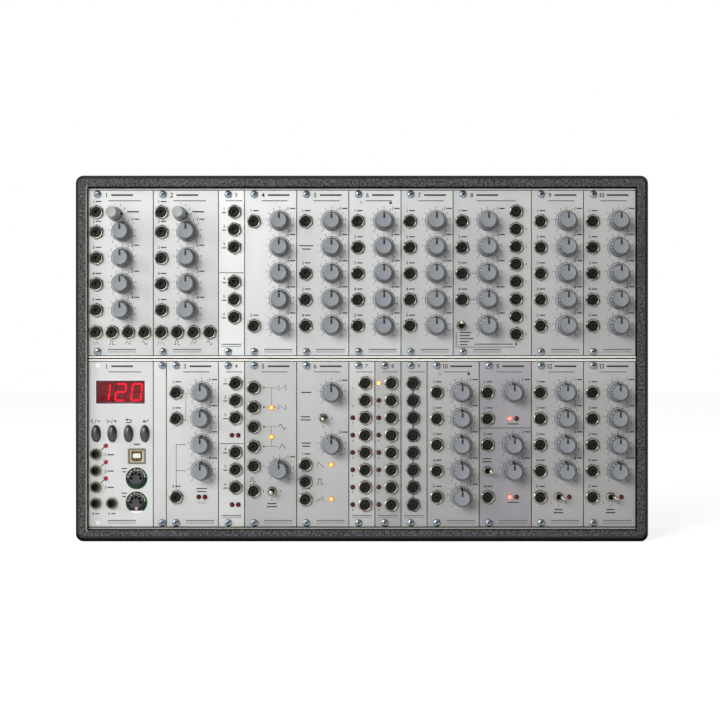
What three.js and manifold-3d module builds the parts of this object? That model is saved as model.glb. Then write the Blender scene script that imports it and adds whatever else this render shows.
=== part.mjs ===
// A portable modular synthesizer: two rows of panel modules on rails in a covered case.
// Millimetres, +Z up, X to the right, the panels face -Y.
// The origin lies under the middle of the whole object, on the face that it stands on.

import * as THREE from 'three';
import { mergeVertices } from 'three/addons/utils/BufferGeometryUtils.js';
import Module from 'manifold-3d';

const wasm = await Module();
wasm.setup();

// Rack sizes
const PANEL_UNIT_WIDTH = 5.08;
const RACK_UNITS = 84;
const ROW_COUNT = 2;
const PANEL_HEIGHT = 128.5;
const PANEL_END_GAP = 4.85;
const PANEL_THICKNESS = 2;
const PANEL_GAP = 0.5;
const PANEL_RECESS = 5;

// Case
const CASE_WALL = 9;
const CASE_BACK_WALL = 6;
const CASE_DEPTH = 125;
const CASE_CORNER_RADIUS = 6;
const CASE_CORNER_STEPS = 4;
const RACK_SIDE_CLEARANCE = 0.3;

// Clearances and overlaps
const SEAT_GAP = 0.3;
const RUNNING_GAP = 0.3;
const JOIN_OVERLAP = 0.2;
const CUT_OVERRUN = 1;

// Rails
const RAIL_SPACING = 1;
const RAIL_HEIGHT = 9.5;
const RAIL_DEPTH = 12;
const RAIL_LIP = 1.3;
const RAIL_SLOT_WIDTH = 4.4;
const RAIL_SLOT_DEPTH = 8;

// Panel screws
const SCREW_INSET_X = 7.5;
const SCREW_INSET_Z = 3;
const SCREW_HEAD_RADIUS = 2.9;
const SCREW_HEAD_HEIGHT = 1.8;
const SCREW_SHANK_RADIUS = 1.5;
const SCREW_SHANK_LENGTH = 6;
const SCREW_HOLE_RADIUS = 1.7;
const SCREW_SIDES = 6;
const SHANK_SIDES = 4;

// Patch sockets
const JACK_NUT_RADIUS = 5.5;
const JACK_NUT_HEIGHT = 2.2;
const JACK_NUT_SIDES = 6;
const JACK_BORE_RADIUS = 1.75;
const JACK_BORE_SIDES = 6;
const JACK_BORE_DEPTH = 9;
const JACK_BODY_WIDTH = 9;
const JACK_BODY_END = 5;

// Pot knobs
const KNOB_SIDES = 8;
const KNOB_SKIRT_RADIUS = 7.75;
const KNOB_SKIRT_TOP_RADIUS = 6.6;
const KNOB_SKIRT_HEIGHT = 5;
const KNOB_CAP_RADIUS = 5.75;
const KNOB_CAP_TOP_RADIUS = 5.3;
const KNOB_HEIGHT = 15.5;
const POT_SHAFT_RADIUS = 3;
const POT_SHAFT_SIDES = 8;
const POT_SHAFT_LENGTH = 8;
const POT_BODY_WIDTH = 13;
const POT_BODY_END = 7;

// Range knobs
const RANGE_KNOB_SIDES = 8;
const RANGE_KNOB_RADIUS = 5.2;
const RANGE_KNOB_TOP_RADIUS = 4.6;
const RANGE_KNOB_HEIGHT = 22;
const RANGE_POINTER_LENGTH = 6.2;
const RANGE_POINTER_WIDTH = 1.8;
const RANGE_POINTER_HEIGHT = 6;

// Toggle switches
const TOGGLE_BUSH_RADIUS = 3.5;
const TOGGLE_BUSH_HEIGHT = 3.4;
const TOGGLE_BUSH_SIDES = 8;
const TOGGLE_BORE_RADIUS = 2.5;
const TOGGLE_BORE_DEPTH = 5;
const TOGGLE_PIVOT_HEIGHT = 0.6;
const TOGGLE_BALL_RADIUS = 1.95;
const TOGGLE_LEVER_ROOT_RADIUS = 0.95;
const TOGGLE_LEVER_TIP_RADIUS = 1.45;
const TOGGLE_LEVER_LENGTH = 12.5;
const TOGGLE_LEVER_SIDES = 8;
const TOGGLE_THROW_DEGREES = 13;
const TOGGLE_BODY_WIDTH = 8;

// Indicator lamps
const LAMP_RADIUS = 1.6;
const LAMP_TOP_RADIUS = 1;
const LAMP_HEIGHT = 1.6;
const LAMP_SIDES = 6;

// Circuit boards and ribbon cables behind the panels
const BOARD_OFFSET = 11;
const BOARD_THICKNESS = 1.6;
const BOARD_INSET_X = 1.2;
const BOARD_INSET_Z = 12.5;
const RIBBON_WIDTH = 12.7;
const RIBBON_THICKNESS = 1.2;
const RIBBON_DROP = 15;
const RIBBON_STEPS = 3;
const PLUG_WIDTH = 14.5;
const PLUG_HEIGHT = 6;
const PLUG_LENGTH = 8;
const HEADER_LENGTH = 6;

// Bus boards
const BUS_MARGIN = 22;
const BUS_HEIGHT = 46;
const BUS_STANDOFF = 4;
const BUS_STANDOFF_WIDTH = 6;
const BUS_STANDOFF_COUNT = 3;
const BUS_CAPACITOR_RADIUS = 5;
const BUS_CAPACITOR_LENGTH = 16;
const BUS_CAPACITOR_INSET = 12;

// Power supply
const SUPPLY_WIDTH = 150;
const SUPPLY_DEPTH = 40;
const SUPPLY_HEIGHT = 56;
const SUPPLY_FIN_COUNT = 8;
const SUPPLY_FIN_THICKNESS = 3;
const SUPPLY_FIN_DEPTH = 8;

// Mains inlet and its rocker
const INLET_X = 150;
const INLET_Z = 34;
const INLET_BODY_HEIGHT = 24;
const INLET_BODY_DEPTH = 30;
const INLET_FLANGE_MARGIN = 4;
const INLET_FLANGE_THICKNESS = 2;
const INLET_SOCKET_WIDTH = 24;
const INLET_SOCKET_HEIGHT = 16.5;
const INLET_SOCKET_DEPTH = 16;
const INLET_SOCKET_CORNER = 4;
const INLET_PIN_WIDTH = 2;
const INLET_PIN_HEIGHT = 4;
const INLET_PIN_LENGTH = 10;
const INLET_PIN_SPACING = 7;
const INLET_PIN_RISE = 2;
const INLET_WEB = 3;
const ROCKER_WINDOW_WIDTH = 19;
const ROCKER_WINDOW_HEIGHT = 13;
const ROCKER_WINDOW_DEPTH = 12;
const ROCKER_PIVOT_DEPTH = 5;
const ROCKER_HUB_RADIUS = 4.4;
const ROCKER_SIDE_GAP = 0.9;
const ROCKER_THROW_DEGREES = 8;

// Interface module: display, buttons and data sockets
const DISPLAY_WIDTH = 38;
const DISPLAY_HEIGHT = 18.1;
const DISPLAY_SINK = 0.5;
const BUTTON_WIDTH = 7;
const BUTTON_HEIGHT = 13;
const BUTTON_PROUD = 3.2;
const BUTTON_SHOULDER = 1.6;
const BUTTON_TRAVEL = 1.5;
const BUTTON_SIDES = 12;
const BUTTON_FLANGE = 1;
const BUTTON_FLANGE_THICKNESS = 1;
const DATA_SOCKET_WIDTH = 13.2;
const DATA_SOCKET_HEIGHT = 11.5;
const DATA_SHELL_WALL = 1.6;
const DATA_SHELL_DEPTH = 9.5;
const DATA_SHELL_PROUD = 0.6;
const DATA_TONGUE_WIDTH = 5.6;
const DATA_TONGUE_HEIGHT = 3.2;
const DATA_TONGUE_LENGTH = 4.2;
const ROUND_SOCKET_RADIUS = 8.3;
const ROUND_SOCKET_DEPTH = 6.2;
const ROUND_SOCKET_SIDES = 12;
const ROUND_SOCKET_WALL = 1.4;
const ROUND_NUT_RADIUS = 4.6;
const ROUND_NUT_HEIGHT = 1.6;
const ROUND_NUT_SIDES = 8;

// Worked-out sizes
const rowPitch = PANEL_HEIGHT + PANEL_END_GAP;
const railInset = (PANEL_END_GAP - RAIL_SPACING) / 2;
const openingWidth = RACK_UNITS * PANEL_UNIT_WIDTH + RACK_SIDE_CLEARANCE * 2;
const openingHeight = ROW_COUNT * rowPitch;
const caseWidth = openingWidth + CASE_WALL * 2;
const caseHeight = openingHeight + CASE_WALL * 2;
const frontReach = RANGE_KNOB_HEIGHT - PANEL_RECESS;
const caseFront = (frontReach - CASE_DEPTH) / 2;
const caseBack = caseFront + CASE_DEPTH;
const backWallFront = caseBack - CASE_BACK_WALL;
const rackLeft = -RACK_UNITS * PANEL_UNIT_WIDTH / 2;
const panelFront = caseFront + PANEL_RECESS;
const panelBack = panelFront + PANEL_THICKNESS;
const boardFront = panelBack + BOARD_OFFSET;
const boardBack = boardFront + BOARD_THICKNESS;
const railFront = panelBack + SEAT_GAP;
const busBack = backWallFront - SEAT_GAP - BUS_STANDOFF;
const busFront = busBack - BOARD_THICKNESS;
const headerFront = busFront - HEADER_LENGTH;
const plugBack = headerFront - SEAT_GAP;
const inletBodyWidth = INLET_SOCKET_WIDTH + ROCKER_WINDOW_WIDTH + INLET_WEB * 3;
const inletLeft = INLET_X - inletBodyWidth / 2;
const inletRight = INLET_X + inletBodyWidth / 2;
const inletBottom = INLET_Z - INLET_BODY_HEIGHT / 2;
const inletTop = INLET_Z + INLET_BODY_HEIGHT / 2;
const rockerX = inletRight - INLET_WEB - ROCKER_WINDOW_WIDTH / 2;

// Colours
const finishes = {
  casing: { color: 0x4b4b4d, roughness: 0.75, metalness: 0 },
  rail: { color: 0xd9d7cd, roughness: 0.45, metalness: 0.6 },
  panelWhite: { color: 0xe1e4e2, roughness: 0.5, metalness: 0.3 },
  panelGrey: { color: 0xc6c7c3, roughness: 0.5, metalness: 0.3 },
  panelWarm: { color: 0xbebbb9, roughness: 0.5, metalness: 0.3 },
  panelLilac: { color: 0xb5b2bd, roughness: 0.5, metalness: 0.3 },
  knob: { color: 0x9d9dab, roughness: 0.55, metalness: 0 },
  rangeKnob: { color: 0x9aa39b, roughness: 0.5, metalness: 0 },
  lever: { color: 0xc9c6bc, roughness: 0.25, metalness: 1 },
  button: { color: 0x2a2b2f, roughness: 0.4, metalness: 0 },
  board: { color: 0x1f5b34, roughness: 0.6, metalness: 0 },
  supply: { color: 0x9b9ea1, roughness: 0.5, metalness: 0.7 },
  inlet: { color: 0x1b1b1c, roughness: 0.5, metalness: 0 },
  rocker: { color: 0x141414, roughness: 0.35, metalness: 0 },
};

// Places on the panels. Across is in panel units from the module's left edge,
// down is a share of the panel height from its top edge.
const columnShares = {
  jack: 1.38,
  knob: 5.38,
  narrowJack: 2.5,
  oscillatorJack: 1.28,
  oscillatorKnob: 5.24,
  multipleJack: 2.44,
  dividerJack: 1.44,
  dividerKnob: 5.41,
  filterKnob: 5.28,
  filterToggle: 1.24,
  filterOut: 9.65,
  interfaceJack: 1.14,
  interfaceRound: 7.44,
  noiseJack: 1.5,
  noiseKnob: 5.41,
  sampleJack: 2.62,
  lowJack: 1.4,
  delayedJack: 1.34,
  clockLamp: 0.58,
  lowerMultipleJack: 1.85,
  mixerJack: 1.48,
  mixerKnob: 5.26,
  slewJack: 1.28,
  slewKnob: 5.18,
  slewToggle: 1.22,
  envelopeJack: 1.34,
  envelopeKnob: 5.24,
  envelopeToggle: 4.15,
  envelopeLamp: 5.79,
};
const gridTopShare = 0.1868;
const gridStepShare = 0.1584;
const ladderTopShare = 0.13;
const ladderStepShare = 0.1052;

const gridShare = (row) => gridTopShare + gridStepShare * row;
const ladderShare = (row) => ladderTopShare + ladderStepShare * row;
const gridPlaces = (across, rows) => rows.map((row) => [across, gridShare(row)]);
const ladderPlaces = (across, rows) => rows.map((row) => [across, ladderShare(row)]);
const listPlaces = (across, shares) => shares.map((share) => [across, share]);

const ALL_FIVE = [0, 1, 2, 3, 4];
const ALL_EIGHT = [0, 1, 2, 3, 4, 5, 6, 7];

const oscillatorRowShares = [0.2518, 0.4097, 0.5676, 0.7255];
const oscillatorFootShare = 0.8584;
const oscillatorTopShare = 0.1315;
const oscillatorFootColumnShares = [1.22, 3.68, 6.16, 8.64];
const rangeKnobShares = [4.13, 0.1424];
const multipleRowShares = [0.1292, 0.2358, 0.3432, 0.5541, 0.6607, 0.7673];
const filterOutTopShare = 0.1276;
const filterOutStepShare = 0.1062;
const sampleRowShares = [0.13, 0.2342, 0.3409, 0.5486, 0.6537, 0.7619];
const sampleLampColumnShares = [2.07, 3.03];
const sampleLampRowShares = [0.4467, 0.8669];
const lowOscillatorRowShares = [0.158, 0.2763, 0.3953, 0.5144, 0.6327, 0.7837];
const lowOscillatorLampShares = [[4.13, 0.2786], [4.13, 0.456]];
const lowOscillatorKnobShares = [[5.37, 0.6545]];
const lowOscillatorToggleShares = [[4.19, 0.786]];
const delayedOscillatorKnobShares = [[5.35, 0.1907], [5.35, 0.5051]];
const delayedOscillatorToggleShares = [[4.07, 0.344]];
const delayedOscillatorJackRowShares = [0.6241, 0.7268, 0.8335];
const delayedOscillatorLampShares = [[5.31, 0.6241], [5.31, 0.8335]];
const slewLampColumnShares = [4.69, 5.71];
const noiseLampColumnShares = [4.96, 5.91];
const interfaceDisplayShares = [4.96, 0.1848];
const interfaceButtonColumnShares = [1.22, 3.7, 6.2, 8.7];
const interfaceButtonRowShare = 0.4366;
const interfaceLampShares = [[2.7, 0.5105], [2.7, 0.6093], [2.7, 0.7082]];
const interfaceJackRowShares = [0.5603, 0.6607, 0.7603, 0.8584];
const interfaceLastJackShares = [3.64, 0.8584];
const interfaceDataShares = [7.46, 0.5739];
const interfaceRoundRowShares = [0.7082, 0.8475];

// Control plans, by kind of module
const oscillatorPlan = {
  jacks: [
    [columnShares.oscillatorJack, oscillatorTopShare],
    ...listPlaces(columnShares.oscillatorJack, oscillatorRowShares),
    ...oscillatorFootColumnShares.map((across) => [across, oscillatorFootShare]),
  ],
  knobs: listPlaces(columnShares.oscillatorKnob, oscillatorRowShares),
  rangeKnobs: [rangeKnobShares],
};
const fiveChannelPlan = {
  jacks: gridPlaces(columnShares.jack, ALL_FIVE),
  knobs: gridPlaces(columnShares.knob, ALL_FIVE),
};
const envelopePlan = {
  jacks: gridPlaces(columnShares.envelopeJack, ALL_FIVE),
  knobs: gridPlaces(columnShares.envelopeKnob, [0, 1, 2, 3]),
  toggles: gridPlaces(columnShares.envelopeToggle, [4]),
  lamps: gridPlaces(columnShares.envelopeLamp, [4]),
};

// The modules, each row from left to right.
// The turning knob is the index of the one that is a piece of its own.
const upperRow = [
  { name: 'oscillator_1', units: 10, finish: 'panelWhite', ...oscillatorPlan, turningKnob: 0 },
  { name: 'oscillator_2', units: 10, finish: 'panelWhite', ...oscillatorPlan },
  {
    name: 'upper_multiples', units: 4, finish: 'panelWhite', passive: true,
    jacks: listPlaces(columnShares.multipleJack, multipleRowShares),
  },
  {
    name: 'divider', units: 8, finish: 'panelGrey', turningKnob: 0,
    jacks: gridPlaces(columnShares.dividerJack, [0, 4]),
    knobs: gridPlaces(columnShares.dividerKnob, ALL_FIVE),
  },
  {
    name: 'waveform', units: 8, finish: 'panelGrey', turningKnob: 1,
    jacks: gridPlaces(columnShares.jack, [0, 2, 3, 4]),
    knobs: gridPlaces(columnShares.knob, ALL_FIVE),
  },
  { name: 'mixer_1', units: 8, finish: 'panelGrey', turningKnob: 4, ...fiveChannelPlan },
  { name: 'filter', units: 8, finish: 'panelGrey', turningKnob: 0, ...fiveChannelPlan },
  {
    name: 'multi_filter', units: 12, finish: 'panelGrey', turningKnob: 4,
    jacks: [
      ...gridPlaces(columnShares.jack, [0, 1, 2, 3]),
      ...ALL_EIGHT.map((row) => [columnShares.filterOut, filterOutTopShare + filterOutStepShare * row]),
    ],
    knobs: gridPlaces(columnShares.filterKnob, ALL_FIVE),
    toggles: gridPlaces(columnShares.filterToggle, [4]),
    togglesUp: true,
  },
  { name: 'amplifier_1', units: 8, finish: 'panelWarm', turningKnob: 0, ...fiveChannelPlan },
  { name: 'amplifier_2', units: 8, finish: 'panelWarm', turningKnob: 0, ...fiveChannelPlan },
];
const lowerRow = [
  {
    name: 'interface', units: 10, finish: 'panelWhite', bareHoles: true,
    roundJacks: [...listPlaces(columnShares.interfaceJack, interfaceJackRowShares), interfaceLastJackShares],
    lamps: interfaceLampShares,
    display: interfaceDisplayShares,
    buttons: interfaceButtonColumnShares.map((across) => [across, interfaceButtonRowShare]),
    dataSocket: interfaceDataShares,
    roundSockets: listPlaces(columnShares.interfaceRound, interfaceRoundRowShares),
  },
  { name: 'blank', units: 2, finish: 'panelWhite', passive: true },
  {
    name: 'noise', units: 8, finish: 'panelWhite', turningKnob: 2,
    jacks: gridPlaces(columnShares.noiseJack, [0, 1, 4]),
    knobs: gridPlaces(columnShares.noiseKnob, [0, 1, 2, 3]),
    lamps: noiseLampColumnShares.map((across) => [across, gridShare(4)]),
  },
  {
    name: 'sample_hold', units: 4, finish: 'panelGrey',
    jacks: listPlaces(columnShares.sampleJack, sampleRowShares),
    lamps: sampleLampRowShares.flatMap((down) => sampleLampColumnShares.map((across) => [across, down])),
  },
  {
    name: 'low_oscillator_1', units: 8, finish: 'panelGrey', turningKnob: 0,
    jacks: listPlaces(columnShares.lowJack, lowOscillatorRowShares),
    knobs: lowOscillatorKnobShares,
    toggles: lowOscillatorToggleShares,
    lamps: lowOscillatorLampShares,
  },
  {
    name: 'low_oscillator_2', units: 8, finish: 'panelGrey', turningKnob: 0,
    jacks: listPlaces(columnShares.delayedJack, delayedOscillatorJackRowShares),
    knobs: delayedOscillatorKnobShares,
    toggles: delayedOscillatorToggleShares,
    lamps: delayedOscillatorLampShares,
  },
  {
    name: 'clock_divider', units: 4, finish: 'panelGrey',
    jacks: ladderPlaces(columnShares.narrowJack, ALL_EIGHT),
    lamps: ladderPlaces(columnShares.clockLamp, [2, 3, 4, 5, 6, 7]),
  },
  {
    name: 'clock_sequencer', units: 4, finish: 'panelGrey',
    jacks: ladderPlaces(columnShares.narrowJack, ALL_EIGHT),
    lamps: ladderPlaces(columnShares.clockLamp, ALL_EIGHT),
  },
  {
    name: 'lower_multiples', units: 4, finish: 'panelGrey', passive: true,
    roundJacks: ladderPlaces(columnShares.lowerMultipleJack, ALL_EIGHT),
  },
  {
    name: 'mixer_2', units: 8, finish: 'panelWarm', turningKnob: 4,
    jacks: gridPlaces(columnShares.mixerJack, ALL_FIVE),
    knobs: gridPlaces(columnShares.mixerKnob, ALL_FIVE),
  },
  {
    name: 'slew_limiter', units: 8, finish: 'panelLilac', turningKnob: 2,
    jacks: gridPlaces(columnShares.slewJack, [0, 1, 2, 4]),
    knobs: gridPlaces(columnShares.slewKnob, [0, 2, 3]),
    toggles: gridPlaces(columnShares.slewToggle, [3]),
    toggleRest: 1,
    lamps: [1, 4].flatMap((row) => slewLampColumnShares.map((across) => [across, gridShare(row)])),
  },
  { name: 'envelope_1', units: 8, finish: 'panelWarm', turningKnob: 0, toggleRest: 1, ...envelopePlan },
  { name: 'envelope_2', units: 8, finish: 'panelWarm', turningKnob: 0, toggleRest: 1, ...envelopePlan },
];

// Geometry helpers

function toSolid(geometry) {
  const bare = geometry.clone();
  bare.deleteAttribute('normal');
  bare.deleteAttribute('uv');
  const merged = mergeVertices(bare);
  return new wasm.Manifold(new wasm.Mesh({
    numProp: 3,
    vertProperties: new Float32Array(merged.attributes.position.array),
    triVerts: new Uint32Array(merged.index.array),
  }));
}

function toGeometry(solid) {
  const mesh = solid.getMesh();
  const geometry = new THREE.BufferGeometry();
  geometry.setAttribute('position', new THREE.BufferAttribute(mesh.vertProperties, 3));
  geometry.setIndex(new THREE.BufferAttribute(mesh.triVerts, 1));
  geometry.computeVertexNormals();
  return geometry;
}

const join = (solids) => solids.reduce((sum, solid) => sum.add(solid));
const cut = (solid, cutters) => cutters.reduce((rest, cutter) => rest.subtract(cutter), solid);

// A box between two corners.
function slab(low, high) {
  const size = high.map((value, axis) => value - low[axis]);
  const geometry = new THREE.BoxGeometry(...size);
  geometry.translate(...low.map((value, axis) => value + size[axis] / 2));
  return toSolid(geometry);
}

// A round or many-sided post along Y, from its front end to its back end.
function post(x, z, front, back, frontRadius, backRadius, sides) {
  const geometry = new THREE.CylinderGeometry(backRadius, frontRadius, back - front, sides);
  geometry.translate(x, (front + back) / 2, z);
  return toSolid(geometry);
}

// An outline in X and Z, extruded along Y.
function plateAlongY(points, front, back) {
  const shape = new THREE.Shape(points.map(([x, z]) => new THREE.Vector2(x, z)));
  const geometry = new THREE.ExtrudeGeometry(shape, { depth: back - front, bevelEnabled: false });
  geometry.rotateX(Math.PI / 2);
  geometry.translate(0, back, 0);
  return toSolid(geometry);
}

// An outline in Y and Z, extruded along X.
function beamAlongX(points, left, right) {
  const shape = new THREE.Shape(points.map(([y, z]) => new THREE.Vector2(y, z)));
  const geometry = new THREE.ExtrudeGeometry(shape, { depth: right - left, bevelEnabled: false });
  const alongY = new THREE.Vector3(0, 1, 0);
  const alongZ = new THREE.Vector3(0, 0, 1);
  const alongX = new THREE.Vector3(1, 0, 0);
  geometry.applyMatrix4(new THREE.Matrix4().makeBasis(alongY, alongZ, alongX));
  geometry.translate(left, 0, 0);
  return toSolid(geometry);
}

// The points of the case's outline with its round corners, anticlockwise.
function roundRectangle(left, right, bottom, top) {
  const radius = CASE_CORNER_RADIUS;
  const corners = [
    [right - radius, top - radius, 0],
    [left + radius, top - radius, Math.PI / 2],
    [left + radius, bottom + radius, Math.PI],
    [right - radius, bottom + radius, Math.PI * 1.5],
  ];
  return corners.flatMap(([x, z, start]) => Array.from({ length: CASE_CORNER_STEPS + 1 }, (_, step) => {
    const angle = start + (Math.PI / 2) * step / CASE_CORNER_STEPS;
    return [x + radius * Math.cos(angle), z + radius * Math.sin(angle)];
  }));
}

const materials = {};
for (const [name, finish] of Object.entries(finishes)) {
  materials[name] = new THREE.MeshStandardMaterial(finish);
}

const synthesizer = new THREE.Group();

function addNode(name, solid, finish) {
  const mesh = new THREE.Mesh(toGeometry(solid), materials[finish]);
  mesh.name = name;
  synthesizer.add(mesh);
}

// Case

function buildCase() {
  const outer = roundRectangle(-caseWidth / 2, caseWidth / 2, 0, caseHeight);
  const body = plateAlongY(outer, caseFront, caseBack);
  const inside = slab(
    [-openingWidth / 2, caseFront - CUT_OVERRUN, CASE_WALL],
    [openingWidth / 2, backWallFront, CASE_WALL + openingHeight],
  );
  const inletHole = slab(
    [inletLeft - SEAT_GAP, backWallFront - CUT_OVERRUN, inletBottom - SEAT_GAP],
    [inletRight + SEAT_GAP, caseBack + CUT_OVERRUN, inletTop + SEAT_GAP],
  );
  const reach = INLET_FLANGE_MARGIN + SEAT_GAP;
  const flangeSeat = slab(
    [inletLeft - reach, caseBack - INLET_FLANGE_THICKNESS - SEAT_GAP, inletBottom - reach],
    [inletRight + reach, caseBack + CUT_OVERRUN, inletTop + reach],
  );
  addNode('case_tub', cut(body, [inside, inletHole, flangeSeat]), 'casing');
}

// Rails. The lip lies level with the panel fronts, and the slot takes the panel screws.

function buildRail(name, outerEdge, inward) {
  const railBack = railFront + RAIL_DEPTH;
  const slotMiddle = railInset + SCREW_INSET_Z;
  const profile = [
    [panelFront, 0],
    [railBack, 0],
    [railBack, RAIL_HEIGHT],
    [railFront, RAIL_HEIGHT],
    [railFront, slotMiddle + RAIL_SLOT_WIDTH / 2],
    [railFront + RAIL_SLOT_DEPTH, slotMiddle + RAIL_SLOT_WIDTH / 2],
    [railFront + RAIL_SLOT_DEPTH, slotMiddle - RAIL_SLOT_WIDTH / 2],
    [railFront, slotMiddle - RAIL_SLOT_WIDTH / 2],
    [railFront, RAIL_LIP],
    [panelFront, RAIL_LIP],
  ];
  const points = profile.map(([y, step]) => [y, outerEdge + inward * step]);
  const end = openingWidth / 2 - SEAT_GAP;
  addNode(name, beamAlongX(points, -end, end), 'rail');
}

// Pieces of a module. Each returns the solids that it adds and those that it cuts away.

function screwPieces(x, z) {
  return [
    post(x, z, panelFront - SCREW_HEAD_HEIGHT, panelFront + JOIN_OVERLAP,
      SCREW_HEAD_RADIUS, SCREW_HEAD_RADIUS, SCREW_SIDES),
    post(x, z, panelBack - JOIN_OVERLAP, panelBack + SCREW_SHANK_LENGTH,
      SCREW_SHANK_RADIUS, SCREW_SHANK_RADIUS, SHANK_SIDES),
  ];
}

// A block behind the panel, from its back to the board, round a column of controls.
function columnBlock(places, width, end) {
  const left = Math.min(...places.map(([x]) => x)) - width / 2;
  const right = Math.max(...places.map(([x]) => x)) + width / 2;
  const bottom = Math.min(...places.map(([, z]) => z)) - end;
  const top = Math.max(...places.map(([, z]) => z)) + end;
  return slab([left, panelBack - JOIN_OVERLAP, bottom], [right, boardFront + JOIN_OVERLAP, top]);
}

// Controls that share a column get one block. Columns lie further apart than one panel unit.
function columnBlocks(places, width, end) {
  const columns = new Map();
  for (const place of places) {
    const key = Math.round(place[0] / PANEL_UNIT_WIDTH * 2);
    columns.set(key, [...(columns.get(key) ?? []), place]);
  }
  return [...columns.values()].map((column) => columnBlock(column, width, end));
}

function jackNut(x, z) {
  return post(x, z, panelFront - JACK_NUT_HEIGHT, panelFront + JOIN_OVERLAP,
    JACK_NUT_RADIUS, JACK_NUT_RADIUS, JACK_NUT_SIDES);
}

function roundJackNut(x, z) {
  return post(x, z, panelFront - ROUND_NUT_HEIGHT, panelFront + JOIN_OVERLAP,
    ROUND_NUT_RADIUS, ROUND_NUT_RADIUS, ROUND_NUT_SIDES);
}

function jackBore(x, z) {
  return post(x, z, panelFront - JACK_NUT_HEIGHT - CUT_OVERRUN, panelFront + JACK_BORE_DEPTH,
    JACK_BORE_RADIUS, JACK_BORE_RADIUS, JACK_BORE_SIDES);
}

// A knob whose skirt starts at the given depth, with its cap on top.
function knobSolids(x, z, base) {
  return [
    post(x, z, panelFront - KNOB_SKIRT_HEIGHT, base, KNOB_SKIRT_TOP_RADIUS, KNOB_SKIRT_RADIUS, KNOB_SIDES),
    post(x, z, panelFront - KNOB_HEIGHT, panelFront - KNOB_SKIRT_HEIGHT + JOIN_OVERLAP,
      KNOB_CAP_TOP_RADIUS, KNOB_CAP_RADIUS, KNOB_SIDES),
  ];
}

function lamp(x, z) {
  return post(x, z, panelFront - LAMP_HEIGHT, panelFront + JOIN_OVERLAP,
    LAMP_TOP_RADIUS, LAMP_RADIUS, LAMP_SIDES);
}

// A hole for a many-sided shaft, wide enough for its corners to turn.
function shaftBore(x, z, shaftRadius, sides, back) {
  const radius = (shaftRadius + RUNNING_GAP) / Math.cos(Math.PI / sides);
  return post(x, z, panelFront - CUT_OVERRUN, back, radius, radius, sides);
}

function toggleBush(x, z) {
  return [
    post(x, z, panelFront - TOGGLE_BUSH_HEIGHT, panelBack,
      TOGGLE_BUSH_RADIUS, TOGGLE_BUSH_RADIUS, TOGGLE_BUSH_SIDES),
    slab(
      [x - TOGGLE_BODY_WIDTH / 2, panelBack - JOIN_OVERLAP, z - TOGGLE_BODY_WIDTH / 2],
      [x + TOGGLE_BODY_WIDTH / 2, boardFront + JOIN_OVERLAP, z + TOGGLE_BODY_WIDTH / 2],
    ),
  ];
}

function toggleBore(x, z) {
  return post(x, z, panelFront - TOGGLE_BUSH_HEIGHT - CUT_OVERRUN, panelFront + TOGGLE_BORE_DEPTH,
    TOGGLE_BORE_RADIUS, TOGGLE_BORE_RADIUS, TOGGLE_BUSH_SIDES);
}

// The flat cable from the board to its plug at the bus board, in an easy double bend.
function ribbonPieces(x, rowMiddle) {
  const startZ = rowMiddle + RIBBON_DROP;
  const from = boardBack - JOIN_OVERLAP;
  const until = plugBack - PLUG_LENGTH + JOIN_OVERLAP;
  const centre = Array.from({ length: RIBBON_STEPS + 1 }, (_, step) => {
    const part = step / RIBBON_STEPS;
    const ease = part * part * (3 - 2 * part);
    return [from + (until - from) * part, startZ + (rowMiddle - startZ) * ease];
  });
  const upper = centre.map(([y, z]) => [y, z + RIBBON_THICKNESS / 2]);
  const lower = centre.map(([y, z]) => [y, z - RIBBON_THICKNESS / 2]);
  return [
    beamAlongX([...lower, ...upper.reverse()], x - RIBBON_WIDTH / 2, x + RIBBON_WIDTH / 2),
    slab(
      [x - PLUG_WIDTH / 2, plugBack - PLUG_LENGTH, rowMiddle - PLUG_HEIGHT / 2],
      [x + PLUG_WIDTH / 2, plugBack, rowMiddle + PLUG_HEIGHT / 2],
    ),
  ];
}

// The oval outline of a button, anticlockwise.
function buttonOutline(x, z, growth) {
  const halfWidth = BUTTON_WIDTH / 2 + growth;
  const halfHeight = BUTTON_HEIGHT / 2 + growth;
  return Array.from({ length: BUTTON_SIDES }, (_, side) => {
    const angle = 2 * Math.PI * side / BUTTON_SIDES;
    return [x + halfWidth * Math.cos(angle), z + halfHeight * Math.sin(angle)];
  });
}

function displayPocket(x, z) {
  return slab(
    [x - DISPLAY_WIDTH / 2, panelFront - CUT_OVERRUN, z - DISPLAY_HEIGHT / 2],
    [x + DISPLAY_WIDTH / 2, panelFront + DISPLAY_SINK, z + DISPLAY_HEIGHT / 2],
  );
}

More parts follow.
